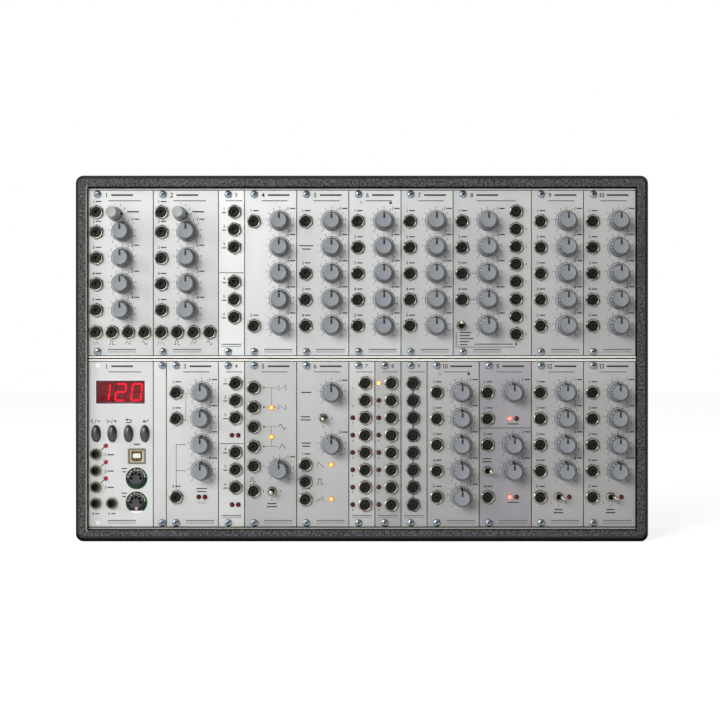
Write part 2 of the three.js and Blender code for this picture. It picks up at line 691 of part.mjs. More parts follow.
// The square data socket: a metal shell on the board that stands in a hole in the panel.
// A tongue stands inside it.
function dataSocketPieces(x, z) {
  const halfWidth = DATA_SOCKET_WIDTH / 2;
  const halfHeight = DATA_SOCKET_HEIGHT / 2;
  const shellFront = panelFront - DATA_SHELL_PROUD;
  const cavityBack = shellFront + DATA_SHELL_DEPTH;
  return {
    hole: slab(
      [x - halfWidth - SEAT_GAP, panelFront - CUT_OVERRUN, z - halfHeight - SEAT_GAP],
      [x + halfWidth + SEAT_GAP, panelBack + CUT_OVERRUN, z + halfHeight + SEAT_GAP],
    ),
    shell: slab(
      [x - halfWidth, shellFront, z - halfHeight],
      [x + halfWidth, boardFront + JOIN_OVERLAP, z + halfHeight],
    ),
    cavity: slab(
      [x - halfWidth + DATA_SHELL_WALL, shellFront - CUT_OVERRUN, z - halfHeight + DATA_SHELL_WALL],
      [x + halfWidth - DATA_SHELL_WALL, cavityBack, z + halfHeight - DATA_SHELL_WALL],
    ),
    tongue: slab(
      [x - DATA_TONGUE_WIDTH / 2, cavityBack - DATA_TONGUE_LENGTH, z - DATA_TONGUE_HEIGHT / 2],
      [x + DATA_TONGUE_WIDTH / 2, cavityBack + JOIN_OVERLAP, z + DATA_TONGUE_HEIGHT / 2],
    ),
  };
}

function roundSocketCavity(x, z) {
  return post(x, z, panelFront - CUT_OVERRUN, panelFront + ROUND_SOCKET_DEPTH,
    ROUND_SOCKET_RADIUS, ROUND_SOCKET_RADIUS, ROUND_SOCKET_SIDES);
}

// Pieces that move on their own

// A pot knob on its shaft, which turns in the panel and the pot behind it.
function buildTurningKnob(name, x, z) {
  const shaft = post(x, z, panelFront - KNOB_SKIRT_HEIGHT, panelFront + POT_SHAFT_LENGTH,
    POT_SHAFT_RADIUS, POT_SHAFT_RADIUS, POT_SHAFT_SIDES);
  addNode(name, join([...knobSolids(x, z, panelFront - RUNNING_GAP), shaft]), 'knob');
}

// A tall range knob on its shaft, with its pointer to the right.
function buildRangeKnob(name, x, z) {
  const base = panelFront - RUNNING_GAP;
  const shaft = post(x, z, panelFront - RANGE_KNOB_HEIGHT / 2, panelFront + POT_SHAFT_LENGTH,
    POT_SHAFT_RADIUS, POT_SHAFT_RADIUS, POT_SHAFT_SIDES);
  const cap = post(x, z, panelFront - RANGE_KNOB_HEIGHT, base,
    RANGE_KNOB_TOP_RADIUS, RANGE_KNOB_RADIUS, RANGE_KNOB_SIDES);
  const pointer = slab(
    [x, base - RANGE_POINTER_HEIGHT, z - RANGE_POINTER_WIDTH / 2],
    [x + RANGE_POINTER_LENGTH, base, z + RANGE_POINTER_WIDTH / 2],
  );
  addNode(name, join([cap, pointer, shaft]), 'rangeKnob');
}

// A toggle lever with its ball in the bush, tilted by a share of its throw, sideways or up.
function buildToggleLever(name, x, z, tiltShare, throwsUp) {
  const ball = new THREE.SphereGeometry(TOGGLE_BALL_RADIUS, TOGGLE_LEVER_SIDES, TOGGLE_LEVER_SIDES / 2);
  const bat = new THREE.CylinderGeometry(
    TOGGLE_LEVER_ROOT_RADIUS, TOGGLE_LEVER_TIP_RADIUS, TOGGLE_LEVER_LENGTH, TOGGLE_LEVER_SIDES,
  );
  bat.translate(0, -TOGGLE_LEVER_LENGTH / 2, 0);
  const lever = toGeometry(join([toSolid(ball), toSolid(bat)]));
  const tilt = THREE.MathUtils.degToRad(TOGGLE_THROW_DEGREES) * tiltShare;
  if (throwsUp) {
    lever.rotateX(-tilt);
  } else {
    lever.rotateZ(tilt);
  }
  lever.translate(x, panelFront - TOGGLE_PIVOT_HEIGHT, z);
  addNode(name, toSolid(lever), 'lever');
}

// A domed push button with a flange behind the panel that keeps it in.
// Its stem stops its travel short of the board.
function buildButton(name, x, z) {
  const stemBack = boardFront - BUTTON_TRAVEL - RUNNING_GAP;
  const sides = plateAlongY(buttonOutline(x, z, 0), panelFront - BUTTON_SHOULDER, stemBack);
  const insetOutline = buttonOutline(x, z, BUTTON_SHOULDER - BUTTON_PROUD);
  const crown = plateAlongY(insetOutline, panelFront - BUTTON_PROUD, panelFront);
  const flangeFront = panelBack + RUNNING_GAP;
  const flangeBack = flangeFront + BUTTON_FLANGE_THICKNESS;
  const flange = plateAlongY(buttonOutline(x, z, BUTTON_FLANGE), flangeFront, flangeBack);
  addNode(name, join([sides, crown, flange]), 'button');
}

// A whole module, and the knobs, levers and buttons that turn, tilt or slide in it

function buildModule(plan, leftUnits, rowBottom) {
  const left = rackLeft + leftUnits * PANEL_UNIT_WIDTH;
  const width = plan.units * PANEL_UNIT_WIDTH;
  const top = rowBottom + PANEL_HEIGHT;
  const rowMiddle = rowBottom + PANEL_HEIGHT / 2;
  const place = ([across, down]) => [left + across * PANEL_UNIT_WIDTH, top - down * PANEL_HEIGHT];
  const places = (list = []) => list.map(place);

  const jacks = places(plan.jacks);
  const roundJacks = places(plan.roundJacks);
  const knobs = places(plan.knobs);
  const rangeKnobs = places(plan.rangeKnobs);
  const toggles = places(plan.toggles);
  const lamps = places(plan.lamps);
  const buttons = places(plan.buttons);
  const roundSockets = places(plan.roundSockets);

  const added = [slab(
    [left + PANEL_GAP / 2, panelFront, rowBottom],
    [left + width - PANEL_GAP / 2, panelBack, top],
  )];
  const removed = [];
  const insets = [];

  const screwX = left + Math.min(SCREW_INSET_X, width - SCREW_HEAD_RADIUS - PANEL_GAP);
  for (const z of [rowBottom + SCREW_INSET_Z, top - SCREW_INSET_Z]) {
    if (plan.bareHoles) {
      removed.push(post(screwX, z, panelFront - CUT_OVERRUN, panelBack + CUT_OVERRUN,
        SCREW_HOLE_RADIUS, SCREW_HOLE_RADIUS, SCREW_SIDES));
    } else {
      added.push(...screwPieces(screwX, z));
    }
  }

  const hasBoard = jacks.length + roundJacks.length > 0;
  if (hasBoard) {
    added.push(slab(
      [left + BOARD_INSET_X, boardFront, rowBottom + BOARD_INSET_Z],
      [left + width - BOARD_INSET_X, boardBack, top - BOARD_INSET_Z],
    ));
    added.push(...columnBlocks([...jacks, ...roundJacks], JACK_BODY_WIDTH, JACK_BODY_END));
    added.push(...columnBlocks([...knobs, ...rangeKnobs], POT_BODY_WIDTH, POT_BODY_END));
  }
  if (!plan.passive) {
    added.push(...ribbonPieces(left + width / 2, rowMiddle));
  }

  added.push(...jacks.map(([x, z]) => jackNut(x, z)));
  added.push(...roundJacks.map(([x, z]) => roundJackNut(x, z)));
  added.push(...lamps.map(([x, z]) => lamp(x, z)));
  added.push(...toggles.flatMap(([x, z]) => toggleBush(x, z)));
  removed.push(...[...jacks, ...roundJacks].map(([x, z]) => jackBore(x, z)));
  removed.push(...toggles.map(([x, z]) => toggleBore(x, z)));

  const shaftBack = panelFront + POT_SHAFT_LENGTH + RUNNING_GAP;
  knobs.forEach(([x, z], index) => {
    if (index === plan.turningKnob) {
      removed.push(shaftBore(x, z, POT_SHAFT_RADIUS, POT_SHAFT_SIDES, shaftBack));
      buildTurningKnob(`${plan.name}_knob`, x, z);
    } else {
      added.push(...knobSolids(x, z, panelFront + JOIN_OVERLAP));
    }
  });
  for (const [x, z] of rangeKnobs) {
    removed.push(shaftBore(x, z, POT_SHAFT_RADIUS, POT_SHAFT_SIDES, shaftBack));
    buildRangeKnob(`${plan.name}_range_knob`, x, z);
  }
  for (const [x, z] of toggles) {
    const tiltShare = plan.togglesUp ? 1 : plan.toggleRest ?? 0;
    buildToggleLever(`${plan.name}_toggle`, x, z, tiltShare, plan.togglesUp);
  }
  buttons.forEach(([x, z], index) => {
    const slot = buttonOutline(x, z, RUNNING_GAP);
    removed.push(plateAlongY(slot, panelFront - CUT_OVERRUN, panelBack + CUT_OVERRUN));
    buildButton(`button_${index + 1}`, x, z);
  });
  if (plan.display) {
    removed.push(displayPocket(...place(plan.display)));
  }
  if (plan.dataSocket) {
    const pieces = dataSocketPieces(...place(plan.dataSocket));
    removed.push(pieces.cavity);
    insets.push(pieces.tongue);
    added[0] = added[0].subtract(pieces.hole);
    added.push(pieces.shell);
  }
  if (roundSockets.length > 0) {
    const reach = ROUND_SOCKET_RADIUS + ROUND_SOCKET_WALL;
    added.push(columnBlock(roundSockets, reach * 2, reach));
    removed.push(...roundSockets.map(([x, z]) => roundSocketCavity(x, z)));
  }

  addNode(`${plan.name}_module`, join([cut(join(added), removed), ...insets]), plan.finish);
}

// Bus board for a row, on standoffs at the back wall, with a header for each powered module

function buildBusBoard(name, row, rowMiddle) {
  const end = openingWidth / 2 - BUS_MARGIN;
  const added = [slab(
    [-end, busFront, rowMiddle - BUS_HEIGHT / 2],
    [end, busBack, rowMiddle + BUS_HEIGHT / 2],
  )];
  let units = 0;
  for (const plan of row) {
    const x = rackLeft + (units + plan.units / 2) * PANEL_UNIT_WIDTH;
    units += plan.units;
    if (!plan.passive) {
      added.push(slab(
        [x - PLUG_WIDTH / 2, headerFront, rowMiddle - PLUG_HEIGHT / 2],
        [x + PLUG_WIDTH / 2, busFront + JOIN_OVERLAP, rowMiddle + PLUG_HEIGHT / 2],
      ));
    }
  }
  const standoffZ = BUS_HEIGHT / 2 - BUS_STANDOFF_WIDTH;
  for (let index = 0; index < BUS_STANDOFF_COUNT; index += 1) {
    const x = (end - BUS_STANDOFF_WIDTH) * (2 * index / (BUS_STANDOFF_COUNT - 1) - 1);
    for (const side of [-1, 1]) {
      const z = rowMiddle + side * standoffZ;
      added.push(slab(
        [x - BUS_STANDOFF_WIDTH / 2, busBack - JOIN_OVERLAP, z - BUS_STANDOFF_WIDTH / 2],
        [x + BUS_STANDOFF_WIDTH / 2, busBack + BUS_STANDOFF, z + BUS_STANDOFF_WIDTH / 2],
      ));
    }
  }
  for (const side of [-1, 1]) {
    const x = side * (end - BUS_CAPACITOR_INSET);
    added.push(post(x, rowMiddle - standoffZ, busFront - BUS_CAPACITOR_LENGTH, busFront + JOIN_OVERLAP,
      BUS_CAPACITOR_RADIUS, BUS_CAPACITOR_RADIUS, KNOB_SIDES));
  }
  addNode(name, join(added), 'board');
}

function buildPowerSupply() {
  const middle = CASE_WALL + openingHeight / 2;
  const back = backWallFront - SEAT_GAP;
  const front = back - SUPPLY_DEPTH;
  const added = [slab(
    [-SUPPLY_WIDTH / 2, front, middle - SUPPLY_HEIGHT / 2],
    [SUPPLY_WIDTH / 2, back, middle + SUPPLY_HEIGHT / 2],
  )];
  for (let index = 0; index < SUPPLY_FIN_COUNT; index += 1) {
    const x = (SUPPLY_WIDTH / 2 - SUPPLY_FIN_THICKNESS) * (2 * index / (SUPPLY_FIN_COUNT - 1) - 1);
    added.push(slab(
      [x - SUPPLY_FIN_THICKNESS / 2, front - SUPPLY_FIN_DEPTH, middle - SUPPLY_HEIGHT / 2],
      [x + SUPPLY_FIN_THICKNESS / 2, front + JOIN_OVERLAP, middle + SUPPLY_HEIGHT / 2],
    ));
  }
  addNode('power_supply', join(added), 'supply');
}

// Mains inlet in the back wall: flange, socket with three pins, and the window of the rocker

function buildMainsInlet() {
  const body = slab(
    [inletLeft, caseBack - INLET_BODY_DEPTH, inletBottom],
    [inletRight, caseBack, inletTop],
  );
  const margin = INLET_FLANGE_MARGIN;
  const flange = slab(
    [inletLeft - margin, caseBack - INLET_FLANGE_THICKNESS, inletBottom - margin],
    [inletRight + margin, caseBack, inletTop + margin],
  );
  const socketLeft = inletLeft + INLET_WEB;
  const socketRight = socketLeft + INLET_SOCKET_WIDTH;
  const socketBottom = INLET_Z - INLET_SOCKET_HEIGHT / 2;
  const socketTop = INLET_Z + INLET_SOCKET_HEIGHT / 2;
  const socketOutline = [
    [socketLeft, socketBottom],
    [socketRight, socketBottom],
    [socketRight, socketTop - INLET_SOCKET_CORNER],
    [socketRight - INLET_SOCKET_CORNER, socketTop],
    [socketLeft + INLET_SOCKET_CORNER, socketTop],
    [socketLeft, socketTop - INLET_SOCKET_CORNER],
  ];
  const socketFloor = caseBack - INLET_SOCKET_DEPTH;
  const socket = plateAlongY(socketOutline, socketFloor, caseBack + CUT_OVERRUN);
  const rockerHole = slab(
    [rockerX - ROCKER_WINDOW_WIDTH / 2, caseBack - ROCKER_WINDOW_DEPTH, INLET_Z - ROCKER_WINDOW_HEIGHT / 2],
    [rockerX + ROCKER_WINDOW_WIDTH / 2, caseBack + CUT_OVERRUN, INLET_Z + ROCKER_WINDOW_HEIGHT / 2],
  );
  const socketX = (socketLeft + socketRight) / 2;
  const pinPlaces = [
    [socketX - INLET_PIN_SPACING, INLET_Z - INLET_PIN_RISE],
    [socketX, INLET_Z + INLET_PIN_RISE],
    [socketX + INLET_PIN_SPACING, INLET_Z - INLET_PIN_RISE],
  ];
  const pins = pinPlaces.map(([x, z]) => slab(
    [x - INLET_PIN_WIDTH / 2, socketFloor - JOIN_OVERLAP, z - INLET_PIN_HEIGHT / 2],
    [x + INLET_PIN_WIDTH / 2, socketFloor + INLET_PIN_LENGTH, z + INLET_PIN_HEIGHT / 2],
  ));
  addNode('mains_inlet', join([cut(join([body, flange]), [socket, rockerHole]), ...pins]), 'inlet');
}

// The rocker: a hub with two flat wings in a shallow V, pressed down at one end.
function buildRocker() {
  const halfLength = ROCKER_WINDOW_WIDTH / 2 - ROCKER_SIDE_GAP;
  const throwAngle = THREE.MathUtils.degToRad(ROCKER_THROW_DEGREES);
  const rise = halfLength * Math.tan(throwAngle);
  const crest = ROCKER_PIVOT_DEPTH - RUNNING_GAP - rise * 2;
  const profile = [
    [-halfLength, crest + rise],
    [0, crest],
    [halfLength, crest + rise],
    [halfLength, 0],
    [0, -ROCKER_HUB_RADIUS],
    [-halfLength, 0],
  ];
  const shape = new THREE.Shape(profile.map(([x, y]) => new THREE.Vector2(x, y)));
  const height = ROCKER_WINDOW_HEIGHT - RUNNING_GAP * 2;
  const rocker = new THREE.ExtrudeGeometry(shape, { depth: height, bevelEnabled: false });
  rocker.translate(0, 0, -height / 2);
  rocker.rotateZ(throwAngle);
  rocker.translate(rockerX, caseBack - ROCKER_PIVOT_DEPTH, INLET_Z);
  addNode('power_rocker', toSolid(rocker), 'rocker');
}

// Assembly

buildCase();
const rowNames = ['lower', 'upper'];
const rowPlans = [lowerRow, upperRow];
rowPlans.forEach((row, index) => {
  const pitchBottom = CASE_WALL + index * rowPitch;
  const rowBottom = pitchBottom + PANEL_END_GAP / 2;
  const rowMiddle = pitchBottom + rowPitch / 2;
  buildRail(`${rowNames[index]}_row_bottom_rail`, pitchBottom + RAIL_SPACING / 2, 1);
  buildRail(`${rowNames[index]}_row_top_rail`, pitchBottom + rowPitch - RAIL_SPACING / 2, -1);
  let units = 0;
  for (const plan of row) {
    buildModule(plan, units, rowBottom);
    units += plan.units;
  }
  buildBusBoard(`${rowNames[index]}_bus_board`, row, rowMiddle);
});
buildPowerSupply();
buildMainsInlet();
buildRocker();

export default synthesizer;
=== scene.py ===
"""The looks of the modular synthesizer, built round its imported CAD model.

Shapes are in millimetres, and become metres where a mesh is made.
Panels face -Y. A shape's height is how far it stands out in front of its panel.
"""

import math
import random

import bpy
import numpy as np
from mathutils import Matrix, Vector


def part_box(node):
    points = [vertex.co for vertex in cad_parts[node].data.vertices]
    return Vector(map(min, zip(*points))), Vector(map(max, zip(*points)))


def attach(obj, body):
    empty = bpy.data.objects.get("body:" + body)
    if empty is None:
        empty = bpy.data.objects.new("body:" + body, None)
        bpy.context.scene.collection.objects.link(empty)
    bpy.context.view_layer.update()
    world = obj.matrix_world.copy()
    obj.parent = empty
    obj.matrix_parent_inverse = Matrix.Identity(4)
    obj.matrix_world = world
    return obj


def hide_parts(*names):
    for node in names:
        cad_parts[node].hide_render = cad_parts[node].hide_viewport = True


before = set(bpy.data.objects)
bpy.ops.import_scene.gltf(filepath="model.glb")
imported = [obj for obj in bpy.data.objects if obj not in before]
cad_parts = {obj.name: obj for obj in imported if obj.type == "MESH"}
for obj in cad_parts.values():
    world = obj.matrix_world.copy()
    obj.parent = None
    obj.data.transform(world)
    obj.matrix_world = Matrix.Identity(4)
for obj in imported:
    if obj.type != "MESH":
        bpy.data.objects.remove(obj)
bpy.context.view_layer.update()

MM = 0.001
UNIT = 5.08
PANEL_HEIGHT = 128.5
PANEL_THICKNESS = 2.0
PANEL_GAP = 0.5
NARROW_PANEL = 25
BOARD_FRONT = -13.0
INK_HEIGHT = 0.03
SCREW_ACROSS = 7.5
SCREW_DOWN = 3.0
SCREW_RADIUS = 2.9
LEVER_THROW = math.radians(13)
ROCKER_THROW = math.radians(8)

dice = random.Random(7)


def box_mm(node):
    low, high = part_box(node)
    return [value / MM for value in low], [value / MM for value in high]


rail_low, rail_high = box_mm("lower_row_bottom_rail")
top_rail_high = box_mm("upper_row_top_rail")[1]
FRONT = rail_low[1]


# Tables of places. Across is in panel units, down is a share of the panel's height.

def grid(row):
    return 0.1868 + 0.1584 * row


def ladder(row):
    return 0.13 + 0.1052 * row


def column(across, downs):
    return [(across, down) for down in downs]


def on_grid(across, rows):
    return column(across, map(grid, rows))


def in_panel(place):
    """A place in the tables as millimetres from the panel's left edge and top."""
    return place[0] * UNIT, place[1] * PANEL_HEIGHT


FIVE = range(5)
EIGHT = range(8)
LADDER = [ladder(row) for row in EIGHT]
FILTER_ROWS = [0.1276 + 0.1062 * row for row in EIGHT]
OSCILLATOR_ROWS = [0.2518, 0.4097, 0.5676, 0.7255]
MULTIPLE_ROWS = [0.1292, 0.2358, 0.3432, 0.5541, 0.6607, 0.7673]
SAMPLE_ROWS = [0.13, 0.2342, 0.3409, 0.5486, 0.6537, 0.7619]
LOW_ROWS = [0.158, 0.2763, 0.3953, 0.5144, 0.6327, 0.7837]
PLAIN = {
    "jacks": [], "round_jacks": [], "knobs": [], "range_knobs": [], "toggles": [], "lamps": [],
    "turning": None,
}
oscillator = {
    "units": 10,
    "jacks": column(1.28, [0.1315] + OSCILLATOR_ROWS) + [(x, 0.8584) for x in (1.22, 3.68, 6.16, 8.64)],
    "knobs": column(5.24, OSCILLATOR_ROWS),
    "range_knobs": [(4.13, 0.1424)],
}
five_channel = {"units": 8, "jacks": on_grid(1.38, FIVE), "knobs": on_grid(5.38, FIVE)}
envelope = {
    "units": 8, "turning": 0, "jacks": on_grid(1.34, FIVE), "knobs": on_grid(5.24, range(4)),
    "toggles": on_grid(4.15, [4]), "toggle_rest": "right", "lamps": [(5.79, grid(4), "lamp_dark")],
}
# A panel's tone is partly its sheet's own shade and partly painted light: the tones fall from left to right
# as the light falls off across the case.
PLANS = {
    "oscillator_1": {**oscillator, "tone": 221, "turning": 0},
    "oscillator_2": {**oscillator, "tone": 221},
    "upper_multiples": {"units": 4, "tone": 249, "jacks": column(2.44, MULTIPLE_ROWS)},
    "divider": {
        "units": 8, "tone": 231, "turning": 0, "jacks": on_grid(1.44, [0, 4]), "knobs": on_grid(5.41, FIVE),
    },
    "waveform": {
        "units": 8, "tone": 223, "turning": 1,
        "jacks": on_grid(1.38, [0, 2, 3, 4]), "knobs": on_grid(5.38, FIVE),
    },
    "mixer_1": {**five_channel, "tone": 221, "turning": 4},
    "filter": {**five_channel, "tone": 209, "turning": 0},
    "multi_filter": {
        "units": 12, "tone": 201, "turning": 4, "toggle_rest": "up",
        "jacks": on_grid(1.38, range(4)) + column(9.65, FILTER_ROWS),
        "knobs": on_grid(5.28, FIVE), "toggles": on_grid(1.24, [4]),
    },
    "amplifier_1": {**five_channel, "tone": 197, "turning": 0},
    "amplifier_2": {**five_channel, "tone": 197, "turning": 0},
    "interface": {
        "units": 10, "tone": 219,
        "round_jacks": column(1.14, [0.5603, 0.6607, 0.7603, 0.8584]) + [(3.64, 0.8584)],
        "lamps": [(2.7, down, "lamp_red") for down in (0.5105, 0.6093, 0.7082)],
    },
    "blank": {"units": 2, "tone": 217},
    "noise": {
        "units": 8, "tone": 215, "turning": 2, "jacks": on_grid(1.5, [0, 1, 4]),
        "knobs": on_grid(5.41, range(4)), "lamps": [(x, grid(4), "lamp_dark") for x in (4.96, 5.91)],
    },
    "sample_hold": {
        "units": 4, "tone": 221, "jacks": column(2.62, SAMPLE_ROWS),
        "lamps": [(x, down, "lamp_dark") for down in (0.4467, 0.8669) for x in (2.07, 3.03)],
    },
    "low_oscillator_1": {
        "units": 8, "tone": 194, "turning": 0, "jacks": column(1.4, LOW_ROWS),
        "knobs": [(5.37, 0.6545)], "toggles": [(4.19, 0.786)], "toggle_rest": "centre",
        "lamps": [(4.13, down, "lamp_orange") for down in (0.2786, 0.456)],
    },
    "low_oscillator_2": {
        "units": 8, "tone": 196, "turning": 0, "jacks": column(1.34, [0.6241, 0.7268, 0.8335]),
        "knobs": column(5.35, [0.1907, 0.5051]), "toggles": [(4.07, 0.344)], "toggle_rest": "centre",
        "lamps": [(5.31, down, "lamp_orange") for down in (0.6241, 0.8335)],
    },
    "clock_divider": {
        "units": 4, "tone": 205, "jacks": column(2.5, LADDER),
        "lamps": [(0.58, down, "lamp_dark") for down in LADDER[2:]],
    },
    "clock_sequencer": {
        "units": 4, "tone": 184, "jacks": column(2.5, LADDER),
        "lamps": [(0.58, LADDER[0], "lamp_amber")] + [(0.58, down, "lamp_dark") for down in LADDER[1:]],
    },
    "lower_multiples": {"units": 4, "tone": 187, "round_jacks": column(1.85, LADDER)},
    "mixer_2": {
        "units": 8, "tone": 182, "turning": 4, "jacks": on_grid(1.48, FIVE), "knobs": on_grid(5.26, FIVE),
    },
    "slew_limiter": {
        "units": 8, "tone": 170, "turning": 2, "toggle_rest": "right", "toggles": on_grid(1.22, [3]),
        "jacks": on_grid(1.28, [0, 1, 2, 4]), "knobs": on_grid(5.18, [0, 2, 3]),
        "lamps": [
            (x, grid(row), mark) for row in (1, 4) for x, mark in ((4.69, "lamp_lit"), (5.71, "lamp_dark"))
        ],
    },
    "envelope_1": {**envelope, "tone": 183},
    "envelope_2": {**envelope, "tone": 184},
}
MODULES = list(PLANS)
UPPER = MODULES[:10]
LOWER = MODULES[10:]
WHITE = ("oscillator_1", "oscillator_2", "upper_multiples", "interface", "blank", "noise")
WARM = ("amplifier_1", "amplifier_2", "mixer_2", "envelope_1", "envelope_2")
PASSIVE = ("upper_multiples", "lower_multiples", "blank")


# Materials

NOISE_BAND = (0.3, 0.7)


def linear(tone):
    share = tone / 255
    if share <= 0.04045:
        return share / 12.92
    return ((share + 0.055) / 1.055) ** 2.4


def colour(red, green, blue):
    return (linear(red), linear(green), linear(blue), 1.0)


def scaled(base, factor):
    return tuple(min(1.0, channel * factor) for channel in base[:3]) + (1.0,)


def set_inputs(tree, node, inputs):
    """Sets a node's inputs. A value that is another node's output is linked."""
    for key, value in inputs.items():
        if isinstance(value, bpy.types.NodeSocket):
            tree.links.new(value, node.inputs[key])
        else:
            node.inputs[key].default_value = value


def add_node(tree, kind, inputs=None, output=0, **settings):
    """Adds a shader node and returns one of its outputs."""
    node = tree.nodes.new(f"ShaderNode{kind}")
    for name, value in settings.items():
        setattr(node, name, value)
    set_inputs(tree, node, inputs or {})
    return node.outputs[output]


def math_node(tree, operation, *values):
    return add_node(tree, "Math", dict(enumerate(values)), operation=operation)


def map_range(tree, value, start, end, low=0.0, high=1.0):
    limits = {"From Min": start, "From Max": end, "To Min": low, "To Max": high}
    return add_node(tree, "MapRange", {**limits, "Value": value})


def object_axis(tree, axis):
    place = add_node(tree, "TexCoord", output="Object")
    return add_node(tree, "SeparateXYZ", {"Vector": place}, axis)


def noise_node(tree, scale, detail=2, stretch=(1, 1, 1), seed=1):
    place = add_node(tree, "TexCoord", output="Object")
    shift = (seed * 0.37, seed * 0.11, seed * 0.23)
    mapped = add_node(tree, "Mapping", {"Vector": place, "Scale": stretch, "Location": shift})
    return add_node(tree, "TexNoise", {"Vector": mapped, "Scale": scale, "Detail": detail}, "Fac")


def blend_colours(tree, factor, band, first, second):
    """The first colour where the factor is at or below the band, the second where it is at or above it."""
    ramp = tree.nodes.new("ShaderNodeValToRGB")
    for stop, position, shade in zip(ramp.color_ramp.elements, band, (first, second)):
        stop.position = position
        stop.color = shade
    tree.links.new(factor, ramp.inputs["Fac"])
    return ramp.outputs["Color"]


def varied(tree, tone, base, spread):
    return blend_colours(tree, tone, NOISE_BAND, scaled(base, 1 - spread), scaled(base, 1 + spread))


def bump_node(tree, height, strength, depth):
    inputs = {"Height": height, "Strength": strength, "Distance": depth * MM}
    return add_node(tree, "Bump", inputs, "Normal")


def new_material(name):
    material = bpy.data.materials.new(name)
    material.use_nodes = True
    return material, material.node_tree, material.node_tree.nodes["Principled BSDF"]


def surface(name, tones, roughness, metal=0.0, spread=0.08, tone_scale=300, bump=0.15, bump_scale=900,
            stretch=(1, 1, 1), rough_spread=0.08, depth=0.1, coat=0.0, specular=0.5, seed=1):
    """A finish with a slow change of colour, a change of gloss and a fine grain."""
    material, tree, shader = new_material(name)
    tone = noise_node(tree, tone_scale, 4, stretch, seed)
    gloss = noise_node(tree, tone_scale * 4, 3, stretch, seed + 3)
    grain = noise_node(tree, bump_scale, 3, stretch, seed + 5)
    dullest = min(1.0, roughness + rough_spread)
    set_inputs(tree, shader, {
        "Base Color": varied(tree, tone, colour(*tones), spread),
        "Roughness": map_range(tree, gloss, *NOISE_BAND, max(0.02, roughness - rough_spread), dullest),
        "Normal": bump_node(tree, grain, bump, depth),
        "Metallic": metal, "Coat Weight": coat, "Specular IOR Level": specular,
    })
    return material


def covering(name, pits, crests, specular=0.4):
    """The case's covering: a coarse hard texture, nearly black in its pits and grey on its crests."""
    material, tree, shader = new_material(name)
    crest = noise_node(tree, 620, 5, seed=2)
    fleck = noise_node(tree, 1500, 2, seed=9)
    wide = noise_node(tree, 30, 3, seed=4)
    mix = math_node(tree, "MULTIPLY_ADD", fleck, 0.45, crest)
    drift = math_node(tree, "MULTIPLY_ADD", wide, 0.12, mix)
    set_inputs(tree, shader, {
        "Base Color": blend_colours(tree, drift, (0.67, 0.93), colour(*pits), colour(*crests)),
        "Normal": bump_node(tree, drift, 0.8, 0.5), "Roughness": 0.62, "Specular IOR Level": specular,
    })
    return material


def rail_finish(name, limit, front=(250, 249, 240)):
    """Pale sheet metal on the rail's front up to a limit in z; painted shade above it and on the sides
    behind.
    """
    material = surface(name, front, 0.5, metal=0.1, spread=0.04, tone_scale=40, stretch=(0.05, 1, 1),
                       bump=0.1, bump_scale=1500, seed=12)
    tree = material.node_tree
    base = tree.nodes["Principled BSDF"].inputs["Base Color"]
    behind = map_range(tree, object_axis(tree, "Y"), (FRONT + 0.2) * MM, (FRONT + 0.5) * MM)
    above = math_node(tree, "GREATER_THAN", object_axis(tree, "Z"), limit * MM)
    inputs = {
        "Factor": math_node(tree, "MAXIMUM", behind, above),
        "A": base.links[0].from_socket,
        # Painted shade: the dark of the rail's sides behind its front and, above the limit, the case rim's
        # painted shadow.
        "B": colour(30, 29, 27),
    }
    tree.links.new(add_node(tree, "Mix", inputs, "Result", data_type="RGBA"), base)
    return material


def lamp_surface(name, tones, glow, strength, coat=0.5):
    material, tree, shader = new_material(name)
    set_inputs(tree, shader, {
        "Base Color": varied(tree, noise_node(tree, 900, seed=6), colour(*tones), 0.15),
        "Roughness": 0.25, "Coat Weight": coat, "Specular IOR Level": coat,
        "Emission Color": glow, "Emission Strength": strength,
    })
    return material


